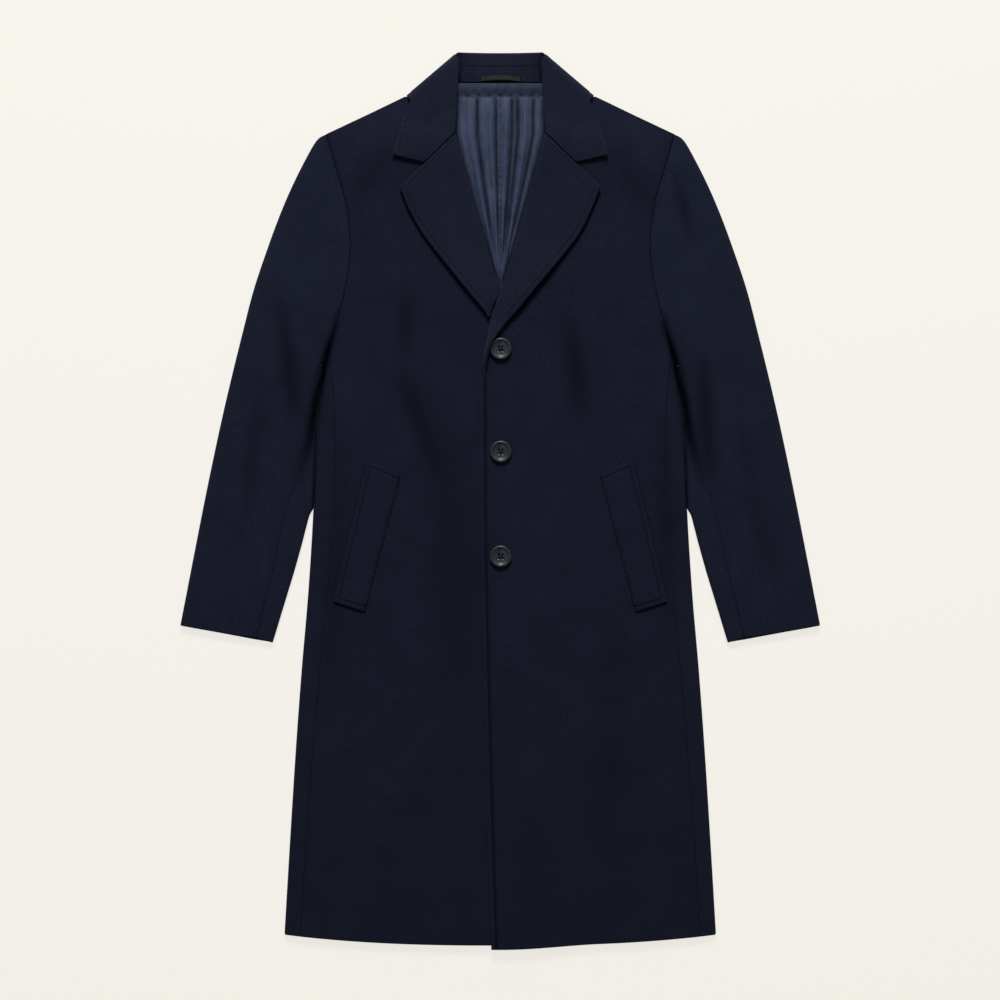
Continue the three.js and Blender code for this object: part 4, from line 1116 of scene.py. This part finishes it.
def back_lining():
    rows = ends(150, (0, 0.5, 1.2, 2.2), (0, 1, 3), 306)
    down = mix(NECK_DEPTH + 0.5, 345, rows)
    roll = roll_at(down)
    half = np.where(down < 104, 66, np.maximum(15, roll + 9))
    share = np.linspace(-1, 1, 151)
    points = np.zeros((len(down), len(share), 2))
    points[..., 0] = share[None] * half[:, None]
    points[..., 1] = down[:, None]
    x, down = points[..., 0], points[..., 1]
    # Painted shade in the gathers under the band, on the top band, beside the lapel rolls, in the valleys
    # between the folds and at the top edge; the dashed line is the centre-back seam.
    seen = np.maximum(4, roll_at(down)) - np.abs(x)
    gather = np.abs(down - tuck_at(x) + 0.4) * 0.42 - 0.1 + 0.7 * np.abs(np.sin(x / 4.4))
    dashes = np.abs(x) * 1.5 + 0.5 + 2 * (np.sin(down / 1.6) > 0.3) + 3 * (down < 60)
    side_shade = 0.1 + 0.22 * np.maximum(0, seen)
    valleys = 2.0 - 1.6 * lining_valley(x, down)
    dark = np.minimum(np.minimum(gather, dashes), np.minimum(side_shade, valleys))
    dark = np.minimum(dark, 0.3 + 0.5 * np.maximum(0, down - NECK_DEPTH - 0.5))
    dark = np.minimum(dark, 0.95 + 5 * smooth(56, 62, down))
    lower = WOOL + 0.1 + back_lift(x, down)
    return laid(
        "back_lining",
        points,
        lining_height,
        LINING,
        lower=lower,
        top_round=0.4,
        low_round=0.05,
        dark=dark,
    )


def pocket_welt(side):
    corners = np.array(WELT_CORNERS, float)
    rows = ends(90, STITCH_FINE, STITCH_FINE, 184)
    columns = ends(6, STITCH_FINE, EDGE_FINE, 45)
    top_line = mix(corners[0], corners[1], columns[:, None])
    low_line = mix(corners[2], corners[3], columns[:, None])
    points = mix(top_line[None], low_line[None], rows[:, None, None])
    points[..., 0] *= side
    left, right, first, last = distances(points)
    near = np.minimum(left, np.minimum(first, last))
    # Painted shade in the welt's stitch lines and along its sewn long side.
    dark = np.minimum(line_shade(near) - 0.9, 0.3 * right + 0.7)
    sunk = 1.1 * (1 - smooth(0, 7, right))
    height = lambda x, down: top_of_side(side)(x, down) + 0.12 + 0.7 * smooth(160, 184, 0 * x + down - 521)
    name = "pocket_welt_left" if side > 0 else "pocket_welt_right"
    return laid(name, points, height, WELT, detail=stitched_edge(near) + sunk, top_round=0.7, dark=dark)


def hanger_loop():
    rows = ends(8, (0, 0.3, 0.7, 1.2), (0, 0.3, 0.7, 1.2), 8.4)
    share = ends(60, (0, 0.3, 0.8), (0, 0.3, 0.8), 52)
    points = np.zeros((len(rows), len(share), 2))
    points[..., 0] = mix(-26, 26, share)[None]
    points[..., 1] = mix(28.2, 36.6, rows)[:, None] - 1.6 * (1 - (2 * share - 1) ** 2)[None] + 0.5

    def height(x, down):
        return 6.5 + 3.6 * smooth(1, 15, 26 - np.abs(x)) + 0.1 * np.sin(x / 5)

    return laid("hanger_loop", points, height, 1.1, top_round=0.5, low_round=0.4)


# Buttons and sewing


def merge_points(name, points, faces):
    mesh = bpy.data.meshes.new(name)
    world = [(x / 1000, (LENGTH / 2 - down) / 1000, z / 1000) for x, down, z in points]
    mesh.from_pydata(world, [], faces)
    mesh.validate()
    mesh.polygons.foreach_set("use_smooth", np.ones(len(mesh.polygons), bool))
    obj = bpy.data.objects.new(f"coat_{name}", mesh)
    bpy.context.scene.collection.objects.link(obj)
    objects[name] = obj
    return obj


def button_rest(down):
    a = np.linspace(0, 2 * math.pi, 24)
    x = BUTTON_ACROSS + BUTTON_RADIUS * np.cos(a)
    return float(np.max(upper_top(x, down + BUTTON_RADIUS * np.sin(a)))) + 0.25


def button(number, down):
    r, h = BUTTON_RADIUS, BUTTON_HEIGHT
    profile = [
        (0.01, 0.2),
        (r - 5, 0.0),
        (r - 2.2, 0.5),
        (r - 0.7, 1.4),
        (r - 0.08, 2.3),
        (r - 0.05, 2.9),
        (r - 0.4, 3.8),
        (r - 1.1, 4.4),
        (r - 1.9, h),
        (r - 2.7, h - 0.1),
        (r - 3.4, h - 0.7),
        (r - 4.2, h - 1.5),
        (r - 5.4, h - 2.1),
        (r - 7.5, h - 2.35),
        (0.01, h - 2.3),
    ]
    around = 72
    centre_z = button_rest(down)
    verts, faces = [], []
    for radius, z in profile:
        for k in range(around):
            angle = 2 * math.pi * k / around
            verts.append((radius * math.cos(angle), radius * math.sin(angle), z))
    for i in range(len(profile) - 1):
        for k in range(around):
            n = (k + 1) % around
            faces.append(
                (i * around + k, i * around + n, (i + 1) * around + n, (i + 1) * around + k)
            )
    faces.append(tuple(range(around - 1, -1, -1)))
    last = (len(profile) - 1) * around
    faces.append(tuple(last + k for k in range(around)))
    mesh = bpy.data.meshes.new("button")
    mesh.from_pydata([(x / 1000, y / 1000, z / 1000) for x, y, z in verts], [], faces)
    mesh.polygons.foreach_set("use_smooth", np.ones(len(mesh.polygons), bool))
    obj = bpy.data.objects.new(f"coat_button_{number}", mesh)
    bpy.context.scene.collection.objects.link(obj)
    place = (BUTTON_ACROSS / 1000, (LENGTH / 2 - down) / 1000, centre_z / 1000)
    obj.location = place
    tools = []
    for sx, sy in ((1, 1), (1, -1), (-1, 1), (-1, -1)):
        bpy.ops.mesh.primitive_cylinder_add(
            vertices=24,
            radius=0.00125,
            depth=0.02,
            location=(place[0] + sx * 0.0021, place[1] + sy * 0.0021, place[2]),
        )
        tools.append(bpy.context.object)
    for tool in tools:
        cut = obj.modifiers.new("hole", "BOOLEAN")
        cut.operation, cut.object, cut.solver = "DIFFERENCE", tool, "EXACT"
    bpy.context.view_layer.update()
    graph = bpy.context.evaluated_depsgraph_get()
    done = bpy.data.meshes.new_from_object(obj.evaluated_get(graph))
    obj.modifiers.clear()
    obj.data = done
    for tool in tools:
        bpy.data.objects.remove(tool, do_unlink=True)
    objects[f"button_{number}"] = obj
    return obj


def tube(verts, faces, line, radius, sides=6):
    """Adds a closed tube along a short line of points to a list of vertices and faces."""
    line = [np.array(p, float) for p in line]
    base = len(verts)
    for k, p in enumerate(line):
        ahead = line[min(k + 1, len(line) - 1)] - line[max(k - 1, 0)]
        ahead /= np.linalg.norm(ahead)
        across = np.cross(ahead, (0, 0, 1))
        if np.linalg.norm(across) < 1e-3:
            across = np.cross(ahead, (1, 0, 0))
        across /= np.linalg.norm(across)
        up = np.cross(across, ahead)
        taper = 0.55 if k in (0, len(line) - 1) else 1
        for s in range(sides):
            a = 2 * math.pi * s / sides
            verts.append(tuple(p + radius * taper * (math.cos(a) * across + math.sin(a) * up)))
    for k in range(len(line) - 1):
        for s in range(sides):
            n = (s + 1) % sides
            a, b = base + k * sides, base + (k + 1) * sides
            faces.append((a + s, a + n, b + n, b + s))
    faces.append(tuple(base + s for s in range(sides - 1, -1, -1)))
    end = base + (len(line) - 1) * sides
    faces.append(tuple(end + s for s in range(sides)))


def button_threads(number, down):
    verts, faces = [], []
    z = button_rest(down) + BUTTON_HEIGHT - 2.3
    h = 2.1
    for k, (a, b) in enumerate((((1, 1), (-1, -1)), ((1, -1), (-1, 1)))):
        for shift in (-0.32, 0.32):
            line = []
            for s in np.linspace(0, 1, 7):
                x = mix(a[0], b[0], s) * h + (shift if a[0] == a[1] else shift)
                y = mix(a[1], b[1], s) * h + (-shift if a[0] == a[1] else shift)
                lift = 0.35 * math.sin(math.pi * s) + 0.22 * k
                sink = -1.5 if s in (0.0, 1.0) else 0.2
                line.append((BUTTON_ACROSS + x, down + y, z + lift + sink))
            tube(verts, faces, line, 0.3)
    return merge_points(f"button_thread_{number}", verts, faces)


def buttonhole(name, centre, direction, length, height):
    """Two raised rows of thread round a slit, with a bar at each end."""
    verts, faces = [], []
    d = np.array(direction, float)
    d /= np.linalg.norm(d)
    n = np.array([-d[1], d[0]])
    steps = max(6, int(length / 0.55))
    for side in (-1, 1):
        for k in range(steps):
            s = (k + 0.5) / steps - 0.5
            p = np.array(centre) + d * s * length + n * side * 0.35
            q = np.array(centre) + d * s * length + n * side * 1.35
            line = []
            for u in (0, 0.5, 1):
                spot = mix(p, q, u)
                line.append((*spot, height(*spot) + 0.32 * math.sin(math.pi * u)))
            tube(verts, faces, line, 0.24, 5)
    for end in (-0.5, 0.5):
        p = np.array(centre) + d * end * length
        line = [
            (*(p + n * u), height(*(p + n * u)) + 0.25) for u in (-1.3, -0.4, 0.4, 1.3)
        ]
        tube(verts, faces, line, 0.3, 5)
    return merge_points(name, verts, faces)


def stitches(name, lines, pitch=3.4, length=2.5, radius=0.2):
    """Small thread runs that lie in the grooves along lines of (x, down, z) points."""
    verts, faces = [], []
    for line in lines:
        run = np.concatenate([[0], np.cumsum(np.linalg.norm(np.diff(line, axis=0), axis=1))])
        for k in range(int(run[-1] / pitch)):
            points = []
            for u in (0, 0.5, 1):
                at = (k + 0.3) * pitch + u * length
                x, down, z = (np.interp(at, run, line[:, j]) for j in range(3))
                points.append((x, down, z - 0.05 + 0.16 * math.sin(math.pi * u)))
            tube(verts, faces, points, radius, 5)
    return merge_points(name, verts, faces)


# Materials

# Painted vertex shade: its value at full light, and where each cloth's painted shade is darkest
FULL_LIGHT = 1.9
WOOL_DEEPEST = -1.5
SATIN_DEEPEST = 0.1


class Look:
    """A material under construction, with short ways to add its nodes."""

    def __init__(self, name):
        self.material = bpy.data.materials.new(name)
        self.material.use_nodes = True
        tree = self.material.node_tree
        self.nodes, self.links = tree.nodes, tree.links
        coords = self.add("TexCoord").outputs
        self.uv, self.place = coords["UV"], coords["Object"]

    def fill(self, node, inputs):
        """Sets a node's sockets, to values or to links from other nodes."""
        for socket, value in inputs.items():
            if isinstance(value, bpy.types.NodeSocket):
                self.links.new(value, node.inputs[socket])
            else:
                node.inputs[socket].default_value = value

    def add(self, kind, inputs=None, **settings):
        node = self.nodes.new("ShaderNode" + kind)
        for key, value in settings.items():
            setattr(node, key, value)
        self.fill(node, inputs or {})
        return node

    def surface(self, inputs):
        self.fill(self.nodes["Principled BSDF"], inputs)
        return self.material

    def noise(self, vector, scale, detail=3.0, rough=0.55):
        inputs = {"Vector": vector, "Scale": scale, "Detail": detail, "Roughness": rough}
        return self.add("TexNoise", inputs).outputs["Fac"]

    def stretched_noise(self, scale, detail, rough, vector=None, turn=0.0):
        inputs = {"Vector": vector or self.uv, "Scale": scale, "Rotation": (0, 0, turn)}
        return self.noise(self.add("Mapping", inputs).outputs["Vector"], 1.0, detail, rough)

    def maths(self, kind, a, b):
        return self.add("Math", {0: a, 1: b}, operation=kind).outputs[0]

    def blend(self, *parts):
        """A sum of (socket, share) pairs."""
        total, *others = [self.maths("MULTIPLY", socket, share) for socket, share in parts]
        for part in others:
            total = self.maths("ADD", total, part)
        return total

    def ramp(self, fac, low, high, start=0.3, end=0.7):
        node = self.add("ValToRGB", {"Fac": fac})
        for element, at, colour in zip(node.color_ramp.elements, (start, end), (low, high)):
            element.position, element.color = at, (*colour, 1)
        return node.outputs["Color"]

    def bump(self, height, distance, strength, under=None):
        inputs = {"Height": height, "Distance": distance, "Strength": strength}
        if under is not None:
            inputs["Normal"] = under
        return self.add("Bump", inputs).outputs["Normal"]

    def paint_shade(self, colour, deepest):
        """Paints shade into a colour from the edge attribute: painted shade in seams, stitch lines, hollows
        and creases, and painted shadows beside the lapels, welts and the collar's roll.

        It gives the darkened colour and the share of light that is left.
        """
        near = self.add("Attribute", attribute_name="edge").outputs["Fac"]
        spread = {"Value": near, "From Min": deepest, "From Max": FULL_LIGHT, "To Min": 0.12, "To Max": 1.0}
        left = self.add("MapRange", spread).outputs["Result"]
        scaled = self.add("VectorMath", operation="SCALE")
        self.fill(scaled, {0: colour, "Scale": left})
        return scaled.outputs["Vector"], left


def wool(name, dark, light, sheen=0.06):
    look = Look(name)
    fibre = look.stretched_noise((1500, 900, 1), 6, 0.65)
    nap = look.stretched_noise((420, 170, 1), 4, 0.65)
    weave = look.add("Mapping", {"Vector": look.uv, "Scale": (230, 150, 1)}).outputs["Vector"]
    wave = {"Vector": weave, "Scale": 1.0, "Distortion": 2.5, "Detail": 2, "Detail Scale": 1.5}
    twill = look.add("TexWave", wave, wave_type="BANDS", bands_direction="DIAGONAL").outputs["Fac"]
    tone = look.blend((nap, 0.55), (fibre, 0.25), (look.noise(look.place, 22, 4), 0.2))
    # The cloth's colour with painted shade from the edge attribute; the share of light it keeps also turns
    # down specular and sheen, so the painted shade is not lit up again.
    shaded, left = look.paint_shade(look.ramp(tone, dark, light, 0.36, 0.64), WOOL_DEEPEST)
    woven = look.bump(twill, 0.0002, 0.6)
    hairy = look.bump(fibre, 0.0005, 0.8, woven)
    rough = look.add("MapRange", {"Value": nap, "To Min": 0.85, "To Max": 1.0})
    return look.surface({
        "Base Color": shaded,
        "Roughness": rough.outputs["Result"],
        "Specular IOR Level": look.maths("MULTIPLY", left, 0.05),
        "Sheen Weight": look.maths("MULTIPLY", left, sheen),
        "Sheen Roughness": 0.5,
        "Sheen Tint": (0.3, 0.36, 0.62, 1),
        "Normal": look.bump(nap, 0.0012, 0.6, hairy),
    })


def satin(name, dark, light, rough, pitch=(900, 60)):
    look = Look(name)
    thread = look.stretched_noise((*pitch, 1), 3, 0.6)
    tone = look.blend((thread, 0.6), (look.noise(look.place, 40, 3), 0.4))
    # The lining's colour with painted shade from the edge attribute; the share of light it keeps also turns
    # down its specular there.
    shaded, left = look.paint_shade(look.ramp(tone, dark, light, 0.35, 0.65), SATIN_DEEPEST)
    return look.surface({
        "Base Color": shaded,
        "Roughness": rough,
        "Specular IOR Level": look.maths("MULTIPLY", left, 0.22),
        "Sheen Weight": 0.03,
        "Sheen Roughness": 0.3,
        "Normal": look.bump(thread, 0.0001, 0.6),
    })


def horn():
    look = Look("horn")
    grain = look.stretched_noise((300, 90, 200), 5, 0.6, look.place, 0.6)
    speck = look.noise(look.place, 1600, 2)
    tone = look.blend((grain, 0.8), (speck, 0.2))
    return look.surface({
        "Base Color": look.ramp(tone, (0.007, 0.008, 0.011), (0.034, 0.037, 0.046), 0.35, 0.68),
        "Roughness": 0.34,
        "Specular IOR Level": 0.28,
        "Normal": look.bump(speck, 0.00005, 0.4),
    })


def thread_material():
    look = Look("thread")
    twist = look.noise(look.place, 4000, 2)
    return look.surface({
        "Base Color": look.ramp(twist, (0.0055, 0.007, 0.014), (0.013, 0.016, 0.030)),
        "Roughness": 0.7,
        "Specular IOR Level": 0.12,
        "Normal": look.bump(twist, 0.0001, 0.5),
    })


def ground():
    look = Look("floor")
    grain = look.noise(look.place, 900, 3)
    return look.surface({
        "Base Color": look.ramp(grain, FLOOR_COLOUR, tuple(c * 1.004 for c in FLOOR_COLOUR)),
        "Roughness": 0.95,
        "Specular IOR Level": 0.0,
        "Emission Color": FLOOR_GLOW,
        "Emission Strength": 1.0,
    })


FLOOR_COLOUR = (0.12, 0.117, 0.109)
FLOOR_GLOW = (0.784, 0.763, 0.714, 1)
MATERIALS = {
    "wool": wool("wool", (0.0043, 0.0053, 0.0127), (0.0094, 0.0112, 0.0232)),
    # Painted light: sleeve and facing are lighter copies of the wool, standing in for the extra light that
    # the sleeves, lapels and collar catch.
    "sleeve": wool("sleeve", (0.0050, 0.0062, 0.0145), (0.0108, 0.0130, 0.0262)),
    "facing": wool("facing", (0.0052, 0.0062, 0.0145), (0.0106, 0.0124, 0.0255), 0.07),
    "lining": satin("lining", (0.0160, 0.023, 0.049), (0.044, 0.056, 0.104), 0.48),
    "tape": satin("tape", (0.004, 0.0055, 0.006), (0.011, 0.014, 0.0135), 0.7, (120, 1500)),
    "button": horn(),
    "thread": thread_material(),
}

# The pieces

for side in (1, -1):
    front(side)
    back(side)
    side_panel(side)
    sleeve(side, True)
    sleeve(side, False)
    facing(side)
    pocket_welt(side)
collar_leaf()
collar_return()
collar_stand()
back_lining()
hanger_loop()
buttonhole("buttonhole_lapel", (92.8, 178.6), (0.66, 0.75), 17, lapel_face)
for number, down in enumerate(BUTTONS_DOWN, 1):
    button(number, down)
    button_threads(number, down)
    if number > 1:
        buttonhole(f"buttonhole_{number}", (18.6, down), (1, 0.02), 6.4, upper_top)

line_in = STITCH_FINE.index(6)
edge_line = upper_grids["front_left"][:, -1 - line_in]
shown = (edge_line[:, 1] > 404) & (edge_line[:, 1] < 1138)
stitches("stitch_front", [edge_line[shown]])
for side, name, last in ((1, "left", 372), (-1, "right", 322)):
    grid = upper_grids[f"facing_{name}"]
    outer_line, gorge_line = grid[line_in:, line_in], grid[line_in, line_in:40]
    stitches(f"stitch_lapel_{name}", [outer_line[outer_line[:, 1] < last], gorge_line])
    grid = upper_grids[f"pocket_welt_{name}"]
    inside = slice(line_in, -line_in)
    lines = [grid[inside, line_in], grid[line_in, line_in:-2], grid[-1 - line_in, line_in:-2]]
    stitches(f"stitch_welt_{name}", lines)
grid = upper_grids["collar_leaf"]
lower_edge = grid[-1 - line_in]
for side, name in ((1, "left"), (-1, "right")):
    on_front = (side * lower_edge[:, 0] > 100) & (lower_edge[:, 2] > 11)
    stitches(f"stitch_collar_{name}", [lower_edge[on_front]])

SLOTS = {
    "sleeve": "sleeve",
    "facing": "facing",
    "collar": "facing",
    "back_lining": "lining",
    "hanger": "tape",
    "button_thread": "thread",
    "buttonhole": "thread",
    "stitch": "thread",
    "button_": "button",
}

for name, obj in objects.items():
    kind = next((k for k in SLOTS if name.startswith(k)), None)
    finish = SLOTS[kind] if kind else "wool"
    obj.data.materials.clear()
    obj.data.materials.append(MATERIALS[finish])
    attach(obj, "root")
    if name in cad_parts:
        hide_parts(name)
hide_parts("collar_leaf")

# Cut sizes of the cloth pieces: width and length in metres

CUTS = {
    "front": (0.300, 1.120),
    "back_left": (0.235, 1.115),
    "back_right": (0.235, 1.115),
    "side": (0.110, 0.800),
    "sleeve_top": (0.240, 0.680),
    "sleeve_under": (0.190, 0.600),
    "facing": (0.110, 0.340),
    "pocket_welt": (0.046, 0.190),
    "collar_leaf": (0.460, 0.082),
    "collar_return": (0.118, 0.036),
    "collar_stand": (0.134, 0.022),
    "back_lining": (0.134, 0.310),
    "hanger_loop": (0.056, 0.010),
}


def cloth_area(obj):
    mesh = obj.data
    areas = np.zeros(len(mesh.polygons))
    mesh.polygons.foreach_get("area", areas)
    return float(areas.sum()) / 2


# Floor, light and camera

floor_mesh = bpy.data.meshes.new("floor")
floor_mesh.from_pydata([(-6, -6, 0), (6, -6, 0), (6, 6, 0), (-6, 6, 0)], [], [(0, 1, 2, 3)])
floor = bpy.data.objects.new("floor", floor_mesh)
floor.location = (0, 0, -0.0004)
floor.data.materials.append(ground())
bpy.context.scene.collection.objects.link(floor)

for name, obj in objects.items():
    cut = next((k for k in CUTS if name.startswith(k)), None)
    if cut is None:
        continue
    width, length = CUTS[cut]
    area = min(max(cloth_area(obj), 0.31 * width * length), width * length)


KEY_POWER = 346
CAMERA_PLACE = (-0.0003, 0.0019, 4.275)


light = bpy.data.lights.new("key", "AREA")
light.energy, light.color, light.shape, light.size = KEY_POWER, (1.0, 0.99, 0.97), "DISK", 1.7


key = bpy.data.objects.new("key", light)
bpy.context.scene.collection.objects.link(key)
key.location = (-0.15, 4.2, 2.9)
key.rotation_euler = (Vector(key.location) - Vector((0, 0.05, 0))).to_track_quat("Z", "Y").to_euler()
world = bpy.data.worlds.new("studio")
bpy.context.scene.world = world
world.use_nodes = True
sky = world.node_tree.nodes["Background"].inputs
sky["Color"].default_value = (1.0, 0.99, 0.98, 1)
sky["Strength"].default_value = 0.3

camera_data = bpy.data.cameras.new("camera")
camera_data.lens = 120
camera_data.sensor_width = 36
camera_data.clip_end = 50
camera = bpy.data.objects.new("camera", camera_data)
camera.location = CAMERA_PLACE
bpy.context.scene.collection.objects.link(camera)
bpy.context.scene.camera = camera
bpy.context.scene.view_settings.view_transform = "Standard"
bpy.context.scene.view_settings.look = "None"
